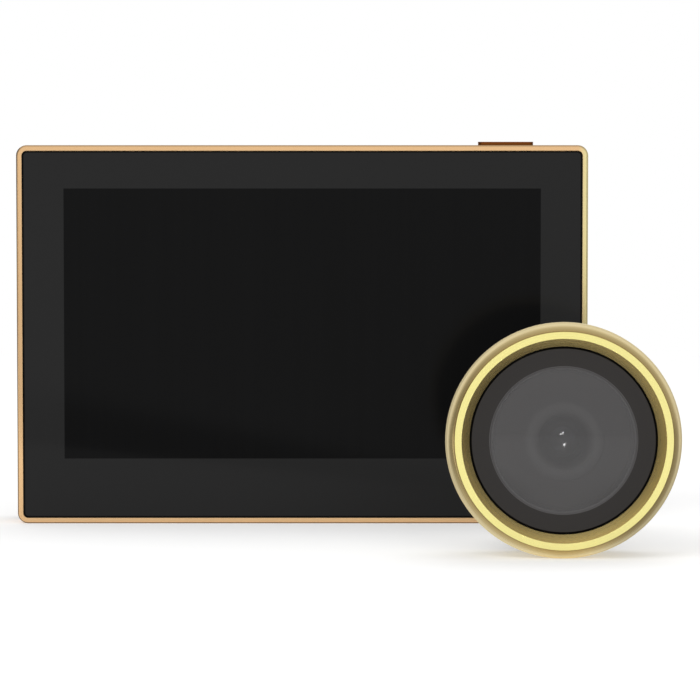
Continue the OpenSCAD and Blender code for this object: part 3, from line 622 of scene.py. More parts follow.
coverGlass = {
    "ink": (0.0234, 0.0234, 0.0234),
    "speck": (0.0220, 0.0220, 0.0222),
    "speckShare": 0.5,
    "speckScale": 2600.0,
    "screen": (0.0052, 0.0052, 0.0053),
    "film": (0.0064, 0.0064, 0.0066),
    "filmScale": (900.0, 1.0, 12.0),
    "half": 0.0475,  # the picture area, from its middle
    "low": 0.0130,
    "high": 0.0669,
    "rim": (0.0034, 0.0027, 0.0020),  # the dark seam where the glass meets the frame
    "rimFrom": (0.00018, 0.00036),
    "corner": 0.0010,
    "edge": (0.020, 0.034, 0.030),
    "smears": 28.0,
    "relief": 0.000004,
    "rough": (0.07, 0.13),
    "gloss": 0.05,  # coated against reflections
}


def printedGlass():
    look = coverGlass
    material, recipe = newRecipe("coatedCoverGlass")
    place = recipe.place()
    x, z = recipe.split(place)[::2]
    picture = (abs(x) < look["half"]) * (z > look["low"]) * (z < look["high"])
    film = recipe.drawn(place, look["filmScale"])
    smear = recipe.noise(place, look["smears"], 4.0)
    speck = recipe.noise(place, look["speckScale"], 1.0)
    screen = recipe.blend(film, look["screen"], look["film"])
    ink = recipe.blend(speck * look["speckShare"], look["ink"], look["speck"])
    colour = recipe.blend(picture, ink, screen)
    # distance in from the glass's rounded outline
    low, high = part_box("front_glass")
    across = abs(x - (low.x + high.x) / 2) - ((high.x - low.x) / 2 - look["corner"])
    upward = abs(z - (low.z + high.z) / 2) - ((high.z - low.z) / 2 - look["corner"])
    pastX, pastZ = recipe.larger(across, 0.0), recipe.larger(upward, 0.0)
    within = recipe.smaller(recipe.larger(across, upward), 0.0)
    inset = look["corner"] - within - (pastX ** 2.0 + pastZ ** 2.0) ** 0.5
    colour = recipe.blend(recipe.between(inset, *look["rimFrom"], 1.0, 0.0), colour, look["rim"])
    recipe.surface({
        "Base Color": recipe.blend(recipe.sideFaces(), colour, look["edge"]),
        "Roughness": recipe.lerp(smear, *look["rough"]),
        "Specular IOR Level": look["gloss"],
        "Normal": recipe.bump(smear, look["relief"]),
    })
    return material


housingPlastic = {
    "face": (0.0150, 0.0150, 0.0158),
    "worn": (0.040, 0.040, 0.041),
    "rough": (0.46, 0.62),
    "texture": 5200.0,
    "edgeRadius": 0.00025,
}

cellBlack = {
    "face": (0.0135, 0.0109, 0.0095),
    "worn": (0.0180, 0.0151, 0.0137),
    "rough": (0.40, 0.52),
    "texture": 3000.0,
    "edgeRadius": 0.00008,
    "gloss": 0.36,
    "relief": 0.000008,
}

chipBlack = {
    "face": (0.014, 0.014, 0.015),
    "worn": (0.034, 0.034, 0.036),
    "rough": (0.45, 0.60),
    "texture": 4200.0,
    "edgeRadius": 0.00010,
    "relief": 0.000012,
}

connectorIvory = {
    "face": (0.70, 0.66, 0.56),
    "worn": (0.82, 0.79, 0.70),
    "rough": (0.38, 0.50),
    "texture": 2400.0,
    "edgeRadius": 0.00010,
    "relief": 0.000008,
}

plungerWhite = {
    "face": (0.74, 0.74, 0.73),
    "worn": (0.86, 0.86, 0.85),
    "rough": (0.30, 0.42),
    "texture": 2400.0,
    "edgeRadius": 0.00010,
    "relief": 0.000006,
}

speakerGrey = {
    "face": (0.045, 0.045, 0.048),
    "worn": (0.110, 0.110, 0.116),
    "rough": (0.48, 0.64),
    "texture": 2600.0,
    "edgeRadius": 0.00012,
    "relief": 0.000014,
}

# what the moulded pieces share, unless they say otherwise
mouldWork = {
    "grain": 0.45,  # scale of the grain, against the pits
    "grainShare": 0.25,
    "flow": 38.0,
    "flowShare": 0.35,
    "edgeShare": 0.5,
    "edgePolish": 0.10,
    "gloss": 0.4,
    "relief": 0.00003,
}


# moulded plastic with a spark-eroded texture, a little polished at its edges
def mouldedPlastic(name, look):
    look = {**mouldWork, **look}
    material, recipe = newRecipe(name)
    place = recipe.place()
    rounded, edges = recipe.roundedEdges(look["edgeRadius"])
    pits = recipe.cells(place, look["texture"])
    grain = recipe.noise(place, look["texture"] * look["grain"], 3.0)
    flow = recipe.noise(place, look["flow"], 3.0)
    wear = flow * look["flowShare"] + grain * look["grainShare"]
    colour = recipe.blend(wear, look["face"], look["worn"])
    rough = recipe.lerp(grain * 0.6 + flow * 0.4, *look["rough"])
    recipe.surface({
        "Base Color": recipe.blend(edges * look["edgeShare"], colour, look["worn"]),
        "Roughness": rough - edges * look["edgePolish"],
        "Specular IOR Level": look["gloss"],
        "Normal": recipe.bump(pits * 0.5 + grain * 0.5, look["relief"], rounded),
    })
    return material


# a lighter ring, and a darker middle within it
def ringed(recipe, radius, colour, look):
    ring = 1.0 - recipe.between(abs(radius - look["ringAt"]), *look["ringHalf"])
    deep = 1.0 - recipe.between(radius, *look["deepTo"])
    colour = recipe.blend(ring, colour, look["ring"])
    return recipe.blend(deep, colour, look["deep"])


baffleGrey = {
    "face": (0.050, 0.0485, 0.0490),
    "ring": (0.085, 0.0830, 0.0835),
    "ringAt": 0.0061,
    "ringHalf": (0.00036, 0.0009),
    "deep": (0.026, 0.0250, 0.0255),
    "deepTo": (0.0045, 0.0051),
    "turning": 1300.0,
    "turnShare": 0.3,
    "grain": 900.0,
    "relief": 0.000004,
    "rough": (0.55, 0.70),
    "gloss": 0.25,
}


# matt grey steps behind the dome: a lighter ring, and a darker one next to the objective
def steppedBaffle():
    look = baffleGrey
    material, recipe = newRecipe("mattBaffle")
    place = recipe.place()
    radius = radiusFrom(recipe, place, headAxis)
    grain = recipe.noise(place, look["grain"])
    turned = recipe.streaks(radius, look["turning"], 1.0)
    colour = ringed(recipe, radius, look["face"], look)
    recipe.surface({
        "Base Color": recipe.blend(turned * look["turnShare"], colour, look["deep"]),
        "Roughness": recipe.lerp(grain, *look["rough"]),
        "Specular IOR Level": look["gloss"],
        "Normal": recipe.bump(turned, look["relief"]),
    })
    return material


powderCoat = {
    "face": (0.030, 0.030, 0.032),
    "fleck": (0.050, 0.050, 0.053),
    "fleckShare": 0.5,
    "fleckScale": 5200.0,
    "worn": (0.30, 0.30, 0.31),
    "wornFrom": (0.52, 0.66),
    "patches": 210.0,
    "peel": 1500.0,
    "relief": 0.000035,
    "rough": (0.40, 0.54),
    "edgeRadius": 0.00022,
}


# black powder coat with its orange peel, rubbed through to steel at a few edges
def powderCoated():
    look = powderCoat
    material, recipe = newRecipe("blackPowderCoat")
    place = recipe.place()
    rounded, edges = recipe.roundedEdges(look["edgeRadius"])
    peel = recipe.noise(place, look["peel"])
    fleck = recipe.noise(place, look["fleckScale"], 1.0)
    patch = recipe.noise(place, look["patches"], 3.0)
    wearAndPaintedShade = edges * recipe.between(patch, *look["wornFrom"])
    colour = recipe.blend(fleck * look["fleckShare"], look["face"], look["fleck"])
    recipe.surface({
        "Base Color": recipe.blend(wearAndPaintedShade, colour, look["worn"]),
        "Metallic": wearAndPaintedShade,
        "Roughness": recipe.lerp(peel, *look["rough"]),
        "Normal": recipe.bump(peel, look["relief"], rounded),
    })
    return material


screwSteel = {
    "face": (0.60, 0.61, 0.63),
    "shade": (0.42, 0.43, 0.46),
    "rough": (0.20, 0.36),
    "grain": (1400.0, 1400.0, 1400.0),
    "edgeRadius": 0.00010,
}

traySteel = {
    "face": (0.62, 0.63, 0.65),
    "shade": (0.46, 0.47, 0.50),
    "rough": (0.26, 0.42),
    "grain": (160.0, 3000.0, 3000.0),
    "edgeRadius": 0.00010,
}

barrelBlack = {
    "face": (0.030, 0.030, 0.031),
    "shade": (0.014, 0.014, 0.015),
    "rough": (0.34, 0.48),
    "grain": (900.0, 4200.0, 900.0),
    "edgeRadius": 0.00006,
}

# what the drawn metals share
drawnWork = {
    "clouds": 260.0,
    "cloudShare": 0.6,
    "grainShare": 0.3,
    "edgePolish": 0.05,
    "relief": 0.000004,
}


# rolled or plated metal with a drawn grain and clouded plating
def drawnMetal(name, look):
    look = {**drawnWork, **look}
    material, recipe = newRecipe(name)
    place = recipe.place()
    rounded, edges = recipe.roundedEdges(look["edgeRadius"])
    grain = recipe.drawn(place, look["grain"], 3.0)
    cloud = recipe.noise(place, look["clouds"], 3.0)
    dull = cloud * look["cloudShare"] + grain * look["grainShare"]
    rough = recipe.lerp(grain * 0.5 + cloud * 0.5, *look["rough"])
    recipe.surface({
        "Base Color": recipe.blend(dull, look["face"], look["shade"]),
        "Metallic": 1.0,
        "Roughness": rough - edges * look["edgePolish"],
        "Normal": recipe.bump(grain, look["relief"], rounded),
    })
    return material


sealRubber = {
    "face": (0.0020, 0.0017, 0.0016),
    "bloom": (0.0055, 0.0052, 0.0051),
    "bloomFrom": (0.40, 0.72),
    "bloomScale": 120.0,
    "grain": 3600.0,
    "relief": 0.000012,
    "rough": (0.62, 0.82),
    "gloss": 0.08,
}


def blackRubber():
    look = sealRubber
    material, recipe = newRecipe("blackSealRubber")
    place = recipe.place()
    grain = recipe.noise(place, look["grain"], 3.0)
    bloom = recipe.noise(place, look["bloomScale"], 4.0)
    bloomed = recipe.between(bloom, *look["bloomFrom"])
    recipe.surface({
        "Base Color": recipe.blend(bloomed, look["face"], look["bloom"]),
        "Roughness": recipe.lerp(grain * 0.6 + bloom * 0.4, *look["rough"]),
        "Specular IOR Level": look["gloss"],
        "Normal": recipe.bump(grain, look["relief"]),
    })
    return material


foamBlack = {
    "skin": (0.030, 0.030, 0.032),
    "pore": (0.006, 0.006, 0.006),
    "cells": 2300.0,
    "cellFrom": (0.15, 0.62),
    "large": 0.34,  # scale of the large cells, against the small ones
    "largeFrom": (0.1, 0.5),
    "dust": (0.075, 0.075, 0.078),
    "dustScale": 90.0,
    "dustFrom": (0.55, 0.8),
    "dustShare": 0.25,
    "relief": 0.00008,
    "rough": (0.80, 0.95),
    "gloss": 0.2,
}


def closedFoam():
    look = foamBlack
    material, recipe = newRecipe("closedCellFoam")
    place = recipe.place()
    small = recipe.between(recipe.cells(place, look["cells"]), *look["cellFrom"])
    large = recipe.between(recipe.cells(place, look["cells"] * look["large"]), *look["largeFrom"])
    pores = small * 0.7 + large * 0.3
    dust = recipe.noise(place, look["dustScale"], 4.0)
    dusty = recipe.between(dust, *look["dustFrom"]) * look["dustShare"]
    colour = recipe.blend(pores, look["pore"], look["skin"])
    recipe.surface({
        "Base Color": recipe.blend(dusty, colour, look["dust"]),
        "Roughness": recipe.lerp(dust, *look["rough"]),
        "Specular IOR Level": look["gloss"],
        "Normal": recipe.bump(pores, look["relief"]),
    })
    return material


frontDome = {
    "curve": 0.0754,
    "veil": (0.0587, 0.0549, 0.0553),
    "bloom": (0.0626, 0.0590, 0.0596),
    "bloomScale": 60.0,
    # painted light: the veil turns lighter towards the dome's edge, against the shade of the cell's bore
    "rim": (0.0640, 0.0602, 0.0607),
    "rimFrom": (0.0090, 0.0134),
    # painted reflection: a lighter ring and a darker middle stand for the inner lens seen through the dome
    "ring": (0.0732, 0.0702, 0.0708),
    "ringAt": 0.0061,
    "ringHalf": (0.00039, 0.0013),
    "deep": (0.0482, 0.0460, 0.0466),
    "deepTo": (0.0042, 0.0052),
    "smoke": 0.78,  # share of the light that the smoked dome keeps back
    "rough": (0.03, 0.05),
    "gloss": 0.75,
}


def domeCentre():
    return Vector((headAxis.x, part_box("front_lens")[0].y + frontDome["curve"], headAxis.z))


# smoked dome: its front holds the veil and the gloss, its back is left clear
def smokedDome():
    look = frontDome
    material, recipe = newRecipe("smokedFrontDome")
    place = recipe.place()
    outward = recipe.vectors("NORMALIZE", recipe.vectors("SUBTRACT", place, tuple(domeCentre())))
    radius = radiusFrom(recipe, place, headAxis)
    film = recipe.noise(place, look["bloomScale"])
    colour = recipe.blend(film, look["veil"], look["bloom"])
    # painted light towards the dome's edge
    colour = recipe.blend(recipe.between(radius, *look["rimFrom"]), colour, look["rim"])
    behind = recipe.node("NewGeometry", out="Backfacing")
    recipe.surface({
        # painted reflection of the inner lens: the lighter ring and the darker middle
        "Base Color": ringed(recipe, radius, colour, look),
        "Roughness": recipe.lerp(film, *look["rough"]),
        "Specular IOR Level": look["gloss"],
        "Alpha": (1.0 - behind) * look["smoke"],
        "Normal": outward,  # the ball's own curve, smoother than the mesh
    })
    return material


objectiveGlass = {
    "tint": (0.50, 0.53, 0.57),
    "bloom": (0.46, 0.49, 0.56),
    "bloomScale": 180.0,
    "rings": 900.0,
    "rough": (0.0, 0.012),
    "refraction": 1.62,
}


def coatedLens():
    look = objectiveGlass
    material, recipe = newRecipe("coatedInnerLens")
    place = recipe.place()
    film = recipe.noise(place, look["bloomScale"])
    rings = recipe.streaks(radiusFrom(recipe, place, headAxis), look["rings"], 1.0)
    recipe.surface({
        "Base Color": recipe.blend(film * 0.6 + rings * 0.4, look["tint"], look["bloom"]),
        "Roughness": recipe.lerp(film, *look["rough"]),
        "IOR": look["refraction"],
        "Transmission Weight": 1.0,
    })
    return material


sensorGlass = {
    "face": (0.010, 0.014, 0.030),
    "array": (0.022, 0.030, 0.055),
    "line": (0.034, 0.026, 0.060),
    "lineScale": (6000.0, 1.0, 900.0),
    "halfX": 0.0026,
    "halfZ": 0.00195,
    "haze": 300.0,
    "relief": 0.000001,
    "rough": (0.04, 0.10),
}


def sensorChip():
    look = sensorGlass
    material, recipe = newRecipe("sensorCoverGlass")
    place = recipe.place()
    x, z = recipe.split(place)[::2]
    active = (abs(x - headAxis.x) < look["halfX"]) * (abs(z - headAxis.z) < look["halfZ"])
    lines = recipe.drawn(place, look["lineScale"], 1.0)
    array = recipe.blend(lines, look["array"], look["line"])
    recipe.surface({
        "Base Color": recipe.blend(active, look["face"], array),
        "Roughness": recipe.lerp(recipe.noise(place, look["haze"]), *look["rough"]),
        "Normal": recipe.bump(lines, look["relief"]),
    })
    return material


boardGreen = {
    "mask": (0.014, 0.075, 0.034),
    "track": (0.030, 0.145, 0.066),
    "trackScale": 420.0,
    "trackHalf": (0.05, 0.09),
    "pad": (0.72, 0.60, 0.33),
    "padScale": 260.0,
    "padHalf": (0.10, 0.13),
    "weave": (0.010, 0.050, 0.022),
    "weaveScale": 2400.0,
    "weaveShare": 0.2,
    "bare": (0.30, 0.26, 0.15),
    "relief": 0.00003,
    "rough": (0.26, 0.40),
}


# solder mask over copper tracks, with plated holes and a bare laminate edge
def circuitBoard():
    look = boardGreen
    material, recipe = newRecipe("greenSolderMask")
    place = recipe.place()
    flat = recipe.vectors("MULTIPLY", place, (1.0, 0.0, 1.0))
    runs = recipe.cells(flat, look["trackScale"], "DISTANCE_TO_EDGE")
    tracks = 1.0 - recipe.between(runs, *look["trackHalf"])
    pads = 1.0 - recipe.between(recipe.cells(flat, look["padScale"]), *look["padHalf"])
    weave = recipe.noise(place, look["weaveScale"], 1.0)
    sideways = recipe.sideFaces()
    colour = recipe.blend(tracks, look["mask"], look["track"])
    colour = recipe.blend(pads, colour, look["pad"])
    colour = recipe.blend(sideways, colour, look["bare"])
    recipe.surface({
        "Base Color": recipe.blend(weave * look["weaveShare"], colour, look["weave"]),
        "Metallic": pads * (1.0 - sideways),
        "Roughness": recipe.lerp(weave, *look["rough"]),
        "Normal": recipe.bump(tracks * 0.6 + pads * 0.4 + weave * 0.1, look["relief"]),
    })
    return material


batteryFoil = {
    "foil": (0.56, 0.57, 0.60),
    "shade": (0.40, 0.41, 0.45),
    "creases": 130.0,
    "grain": (300.0, 300.0, 2600.0),
    "tape": (0.62, 0.34, 0.06),
    "tapeFrom": 0.0645,
    "relief": 0.00012,
    "rough": (0.28, 0.46),
}


def pouchFoil():
    look = batteryFoil
    material, recipe = newRecipe("pouchFoil")
    place = recipe.place()
    tape = recipe.split(place)[2] > look["tapeFrom"]
    crease = recipe.noise(place, look["creases"], 4.0)
    grain = recipe.drawn(place, look["grain"])
    colour = recipe.blend(crease, look["shade"], look["foil"])
    recipe.surface({
        "Base Color": recipe.blend(tape, colour, look["tape"]),
        "Metallic": 1.0 - tape,
        "Roughness": recipe.lerp(grain * 0.5 + crease * 0.5, *look["rough"]),
        "Normal": recipe.bump(crease * 0.8 + grain * 0.2, look["relief"]),
    })
    return material


softFilm = {
    "face": (0.34, 0.34, 0.35),
    "cloud": (0.46, 0.46, 0.47),
    "cloudScale": 150.0,
    "bubbles": 900.0,
    "relief": 0.00002,
    "rough": (0.45, 0.70),
}


def adhesiveFilm():
    look = softFilm
    material, recipe = newRecipe("softAdhesiveFilm")
    place = recipe.place()
    bubbles = recipe.cells(place, look["bubbles"])
    cloud = recipe.noise(place, look["cloudScale"], 4.0)
    recipe.surface({
        "Base Color": recipe.blend(cloud, look["face"], look["cloud"]),
        "Roughness": recipe.lerp(cloud, *look["rough"]),
        "Normal": recipe.bump(bubbles * 0.4 + cloud * 0.6, look["relief"]),
    })
    return material


displayDark = {
    "face": (0.010, 0.010, 0.012),
    "line": (0.018, 0.018, 0.022),
    "columns": (9000.0, 1.0, 60.0),
    "rows": (60.0, 1.0, 9000.0),
    "haze": 60.0,
    "relief": 0.000001,
    "rough": (0.05, 0.12),
}


def displayPanel():
    look = displayDark
    material, recipe = newRecipe("displayPanelGlass")
    place = recipe.place()
    columns = recipe.drawn(place, look["columns"], 1.0)
    rows = recipe.drawn(place, look["rows"], 1.0)
    lines = columns * 0.6 + rows * 0.4
    recipe.surface({
        "Base Color": recipe.blend(lines, look["face"], look["line"]),
        "Roughness": recipe.lerp(recipe.noise(place, look["haze"], 3.0), *look["rough"]),
        "Normal": recipe.bump(lines, look["relief"]),
    })
    return material


plateGold = turnedGold("platedBackGold", backGold, headAxis)
nutBrass = turnedGold("turnedSleeveBrass", sleeveBrass, sleeveAxis)
zinc = drawnMetal("zincScrewSteel", screwSteel)
tinned = drawnMetal("tinnedSheetSteel", traySteel)
chipMould = mouldedPlastic("chipMould", chipBlack)
ivory = mouldedPlastic("ivoryConnector", connectorIvory)
board = circuitBoard()
film = adhesiveFilm()
innerLens = coatedLens()
rubber = blackRubber()
finishes = {
    "front_frame": anodisedFrame(),
    "front_glass": printedGlass(),
    "glass_tape": film,
    "optical_adhesive": film,
    "battery_pad": film,
    "display_cell": displayPanel(),
    "backlight": tinned,
    "usb_socket": tinned,
    "card_socket": tinned,
    "main_board": board,
    "sensor_board": board,
    "board_chips": chipMould,
    "button_switch": chipMould,
    "lens_holder": chipMould,
    "board_screws": zinc,
    "housing_screws": zinc,
    "sensor_screws": zinc,
    "back_screws": zinc,
    "ribbon_socket": ivory,
    "ribbon_connector": ivory,
    "switch_plunger": mouldedPlastic("whitePlunger", plungerWhite),
    "power_button": shadedCopperButton(),
    "battery": pouchFoil(),
    "speaker": mouldedPlastic("mattSpeakerPaint", speakerGrey),
    "rear_housing": mouldedPlastic("texturedHousing", housingPlastic),
    "mounting_bracket": powderCoated(),
    "sleeve_nut": nutBrass,
    "camera_bezel": turnedGold("turnedBezelGold", bezelGold, headAxis, headFace),
    "camera_back": plateGold,
    "cell_seal": rubber,
    "lens_cell": mouldedPlastic("satinLensCell", cellBlack),
    "light_baffle": steppedBaffle(),
    "front_lens": smokedDome(),
    "objective_lens": innerLens,
    "rear_lens": innerLens,
    "lens_barrel": drawnMetal("blackBarrel", barrelBlack),
    "image_sensor": sensorChip(),
}
for nodeName, finish in finishes.items():
    dress(nodeName, finish)
print("finishes on", len(finishes), "pieces")

buildStudio()
print("studio lit")


def newPiece(name, points, faces, material, sharpAngle=40.0):
    mesh = newMesh(name, points, faces, material)
    build = bmesh.new()
    build.from_mesh(mesh)
    bmesh.ops.recalc_face_normals(build, faces=build.faces)
    build.to_mesh(mesh)
    build.free()
    mesh.shade_smooth()
    mesh.set_sharp_from_angle(angle=math.radians(sharpAngle))
    return newObject(name, mesh)


# faces between rings of points, each ring closed, the last ring joined to the first if looped
def ringFaces(rings, perRing, looped):
    faces = []
    for ring in range(rings if looped else rings - 1):
        here, there = ring * perRing, (ring + 1) % rings * perRing
        for i in range(perRing):
            j = (i + 1) % perRing
            faces.append((here + i, here + j, there + j, there + i))
    return faces


def aroundAxis(axis, radius, depth, angle):
    return (axis.x + radius * math.cos(angle), depth, axis.z + radius * math.sin(angle))


# a ring from a closed profile of radius and depth for each angle
def revolve(name, axis, steps, profileAt, material, sharpAngle=40.0):
    points = []
    for step in range(steps):
        angle = 2 * math.pi * step / steps
        profile = profileAt(angle)
        points += [aroundAxis(axis, radius, depth, angle) for radius, depth in profile]
    faces = ringFaces(steps, len(points) // steps, True)
    return newPiece(name, points, faces, material, sharpAngle)


# how far a quarter round of radius 1 lies from its two sides, step by step
def quarterRound(steps):
    turns = [math.radians(90 * step / steps) for step in range(steps + 1)]
    return [(1 - math.cos(turn), 1 - math.sin(turn)) for turn in turns]


gasket = {
    "bore": 0.0070,
    "lips": (0.0090, 0.0122, 0.0154, 0.0186),  # radii of the four sealing lips
    "lipHeight": 0.00032,
    "lipHalf": 0.00055,
    "lipSteps": 6,
    "edge": 0.00035,
    "edgeSteps": 5,
    "chamfer": 0.0002,
    "steps": 220,
}


# moulded rubber ring: flat against the head, four rounded lips towards the door
def buildGasket():
    low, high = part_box("door_gasket")
    outer, inner = (high.x - low.x) / 2, gasket["bore"]
    face = high.y - gasket["lipHeight"]
    edge, chamfer = gasket["edge"], gasket["chamfer"]
    rounding = quarterRound(gasket["edgeSteps"])
    profile = [(inner, low.y)]
    profile += [(inner + edge * a, face - edge * b) for a, b in rounding]
    for lip in gasket["lips"]:
        for step in range(-gasket["lipSteps"], gasket["lipSteps"] + 1):
            share = step / gasket["lipSteps"]
            rise = gasket["lipHeight"] * (0.5 + 0.5 * math.cos(math.pi * share))
            profile.append((lip + gasket["lipHalf"] * share, face + rise))
    profile += [(outer - edge * b, face - edge * a) for a, b in rounding]
    profile += [(outer, low.y + chamfer), (outer - chamfer, low.y)]
    ring = revolve("doorGasketLips", middle("door_gasket"), gasket["steps"], lambda angle: profile, rubber)
    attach(ring, "set")
    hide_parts("door_gasket")


buildGasket()
print("gasket moulded")


domeBead = {
    "inner": 0.00040,  # how far it runs in over the dome
    "gap": 0.00010,  # between the dome and its cell
    "lap": 0.00010,  # how far it laps onto the cell
    "lapBend": (0.6, 0.000004),  # share of the lap where it bends down, and how far it is down there
    "proud": 0.000015,
    "offCell": 0.000001,  # how far it keeps off the cell's face, its bore and the dome
    "offBore": 0.000002,
    "offDome": 0.000003,
    "foot": 0.0002,  # how far in it follows the dome from below
    "faceSteps": 8,
    "steps": 200,
    "resin": (0.0850, 0.0815, 0.0820),
    "cloud": (0.0890, 0.0855, 0.0860),
    "cloudScale": 900.0,
    "relief": 0.000002,
    "rough": (0.32, 0.46),
    "gloss": 0.3,
}


def bondingResin():
    look = domeBead
    material, recipe = newRecipe("greyBondingResin")
    cloud = recipe.noise(recipe.place(), look["cloudScale"])
    recipe.surface({
        "Base Color": recipe.blend(cloud, look["resin"], look["cloud"]),
        "Roughness": recipe.lerp(cloud, *look["rough"]),
        "Specular IOR Level": look["gloss"],
        "Normal": recipe.bump(cloud, look["relief"]),
    })
    return material


# depth of the dome's front at a radius
def domeAt(radius):
    return domeCentre().y - math.sqrt(frontDome["curve"] ** 2 - radius ** 2)


# bead of resin in the corner between the dome and its cell
def buildDomeBead():
    look = domeBead
    low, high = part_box("front_lens")
    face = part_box("lens_cell")[0].y
    edge = (high.x - low.x) / 2
    bore, inner, foot = edge + look["gap"], edge - look["inner"], edge - look["foot"]
    top = face - look["proud"]
    deep = domeAt(inner) - top
    profile = []
    for step in range(look["faceSteps"] + 1):
        turn = math.radians(90 * step / look["faceSteps"])
        profile.append((inner + (bore - inner) * math.sin(turn), top + deep * math.cos(turn)))
    share, drop = look["lapBend"]
    wall, seat = bore - look["offBore"], face - look["offCell"]
    profile += [(bore + share * look["lap"], top + drop), (bore + look["lap"], seat)]
    profile += [(wall, seat), (wall, domeAt(edge))]
    profile += [(radius, domeAt(radius) - look["offDome"]) for radius in (edge, foot)]
    bead = revolve("domeBead", headAxis, look["steps"], lambda angle: profile, bondingResin())
    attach(bead, "set")


buildDomeBead()
print("dome bonded")


foamPad = {
    "corner": 0.0020,
    "bore": 0.0090,
    "soft": 0.00035,  # round of the cut edges
    "softSteps": 5,
    "crown": 0.00006,
    "crownPower": 0.6,
    "around": 288,
    "across": 22,
    "sharpAngle": 55.0,
}


# how far a rounded rectangle's outline lies from its middle, in a direction
def outlineReach(halfX, halfZ, corner, angle):
    dx, dz = abs(math.cos(angle)), abs(math.sin(angle))
    tiny = 1e-9
    reach = min(halfX / max(dx, tiny), halfZ / max(dz, tiny))
    cornerX, cornerZ = halfX - corner, halfZ - corner
    if reach * dx > cornerX and reach * dz > cornerZ:
        along = cornerX * dx + cornerZ * dz
        reach = along + math.sqrt(max(along * along - cornerX ** 2 - cornerZ ** 2 + corner ** 2, 0.0))
    return reach


# die-cut foam: flat on the bracket, softly crowned towards the door
def buildFoamPad():
    low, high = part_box("door_pad")
    halfX, halfZ = (high.x - low.x) / 2, (high.z - low.z) / 2
    near, soft, crown = foamPad["bore"], foamPad["soft"], foamPad["crown"]
    top = high.y - crown
    rounding = quarterRound(foamPad["softSteps"])

    def profileAt(angle):
        far = outlineReach(halfX, halfZ, foamPad["corner"], angle)
        profile = [(near, low.y)]
        profile += [(near + soft * a, top - soft * b) for a, b in rounding]
        for step in range(1, foamPad["across"]):
            share = step / foamPad["across"]
            rise = crown * math.sin(math.pi * share) ** foamPad["crownPower"]
            profile.append((near + soft + (far - near - 2 * soft) * share, top + rise))
        profile += [(far - soft * b, top - soft * a) for a, b in rounding]
        return profile + [(far, low.y), ((far + near) / 2, low.y)]

    pad = revolve("doorFoamPad", middle("door_pad"), foamPad["around"], profileAt, closedFoam(),
                  foamPad["sharpAngle"])
    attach(pad, "bracket")
    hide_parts("door_pad")
    print("foam pad cut,", round((high.y - low.y) * 1000, 2), "mm thick")


buildFoamPad()


stubThread = {
    "root": 0.00584,
    "crest": 0.00612,
    "from": 0.0010,  # behind the gasket
    "to": 0.0008,  # before the stub's end
}

boreThread = {
    "root": 0.00604,
    "crest": 0.00582,
    "from": 0.0008,  # behind the sleeve's front
    "to": 0.0007,  # before its end
}

# what both threads share
threadForm = {
    "pitch": 0.00100,
    "flank": 0.46,  # of the pitch, from the ridge's middle to its root and its crest
    "flat": 0.09,
    "perTurn": 60,
    "sharpAngle": 25.0,
}


# one helical ridge, fading out over half a turn at both ends
def buildThread(name, look, axis, start, end, material):
    pitch, perTurn, root = threadForm["pitch"], threadForm["perTurn"], look["root"]
    flank, flat = threadForm["flank"] * pitch, threadForm["flat"] * pitch
    steps = int((end - start) / pitch * perTurn)
    points = []
    for step in range(steps + 1):
        angle = 2 * math.pi * step / perTurn
        depth = start + pitch * step / perTurn
        fade = min(1.0, 2.0 * min(step, steps - step) / perTurn)
        crest = root + (look["crest"] - root) * fade
        for radius, offset in ((root, -flank), (crest, -flat), (crest, flat), (root, flank)):
            points.append(aroundAxis(axis, radius, depth + offset, angle))
    faces = ringFaces(steps + 1, 4, False)
    faces += [(3, 2, 1, 0), tuple(4 * steps + k for k in range(4))]
    return newPiece(name, points, faces, material, threadForm["sharpAngle"])


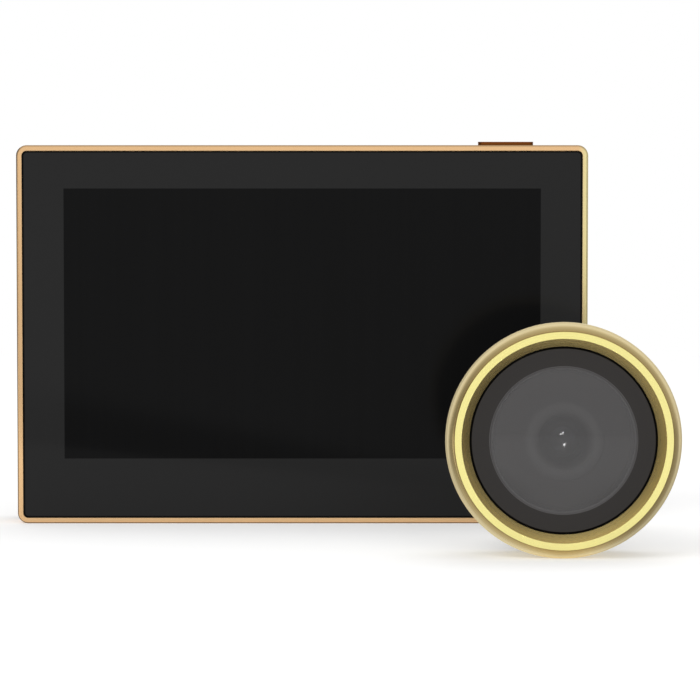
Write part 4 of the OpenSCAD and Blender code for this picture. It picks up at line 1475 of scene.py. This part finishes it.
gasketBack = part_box("door_gasket")[1].y
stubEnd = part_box("camera_back")[1].y
thread = buildThread("stubThread", stubThread, headAxis, gasketBack + stubThread["from"],
                     stubEnd - stubThread["to"], plateGold)
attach(thread, "set")
sleeveFront, sleeveBack = (corner.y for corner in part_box("sleeve_nut"))
thread = buildThread("sleeveThread", boreThread, sleeveAxis, sleeveFront + boreThread["from"],
                     sleeveBack - boreThread["to"], nutBrass)
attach(thread, "sleeve")
print("threads cut")


speakerCloth = {
    "reach": 0.0064,
    "pitch": 0.00042,
    "wire": 0.00011,
    "sides": 6,
    "perPitch": 3,
    "wave": 0.00006,
    "back": 0.0003,  # behind the loudspeaker's rim
    "colour": (0.05, 0.05, 0.052),
    "grime": (0.10, 0.10, 0.105),
    "grimeScale": 900.0,
    "metal": 0.8,
    "relief": 0.000004,
    "rough": (0.35, 0.55),
}


def wovenWire():
    look = speakerCloth
    material, recipe = newRecipe("wovenSpeakerCloth")
    grime = recipe.noise(recipe.place(), look["grimeScale"], 3.0)
    recipe.surface({
        "Base Color": recipe.blend(grime, look["colour"], look["grime"]),
        "Metallic": look["metal"],
        "Roughness": recipe.lerp(grime, *look["rough"]),
        "Normal": recipe.bump(grime, look["relief"]),
    })
    return material


# woven wire cloth behind the loudspeaker slots
def buildSpeakerCloth():
    look = speakerCloth
    pitch, sides = look["pitch"], look["sides"]
    axis = middle("speaker")
    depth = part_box("speaker")[1].y - look["back"]
    count = int(look["reach"] / pitch)
    points, faces = [], []
    for way in range(2):
        for wire in range(-count, count + 1):
            across = wire * pitch
            half = math.sqrt(max(look["reach"] ** 2 - across ** 2, 0.0))
            if half < pitch:
                continue
            steps = max(4, int(2 * half / pitch * look["perPitch"]))
            first = len(points)
            for step in range(steps + 1):
                along = -half + 2 * half * step / steps
                lift = look["wave"] * math.cos(math.pi * (along / pitch + wire + way))
                for corner in range(sides):
                    turn = 2 * math.pi * corner / sides
                    side = across + look["wire"] * math.cos(turn)
                    height = depth + lift + look["wire"] * math.sin(turn)
                    right, up = (side, along) if way else (along, side)
                    points.append((axis.x + right, height, axis.z + up))
            run = ringFaces(steps + 1, sides, False)
            run += [tuple(reversed(range(sides))), tuple(sides * steps + k for k in range(sides))]
            faces += [tuple(first + k for k in face) for face in run]
    cloth = newPiece("speakerCloth", points, faces, wovenWire())
    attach(cloth, "set")


buildSpeakerCloth()
print("speaker cloth woven")
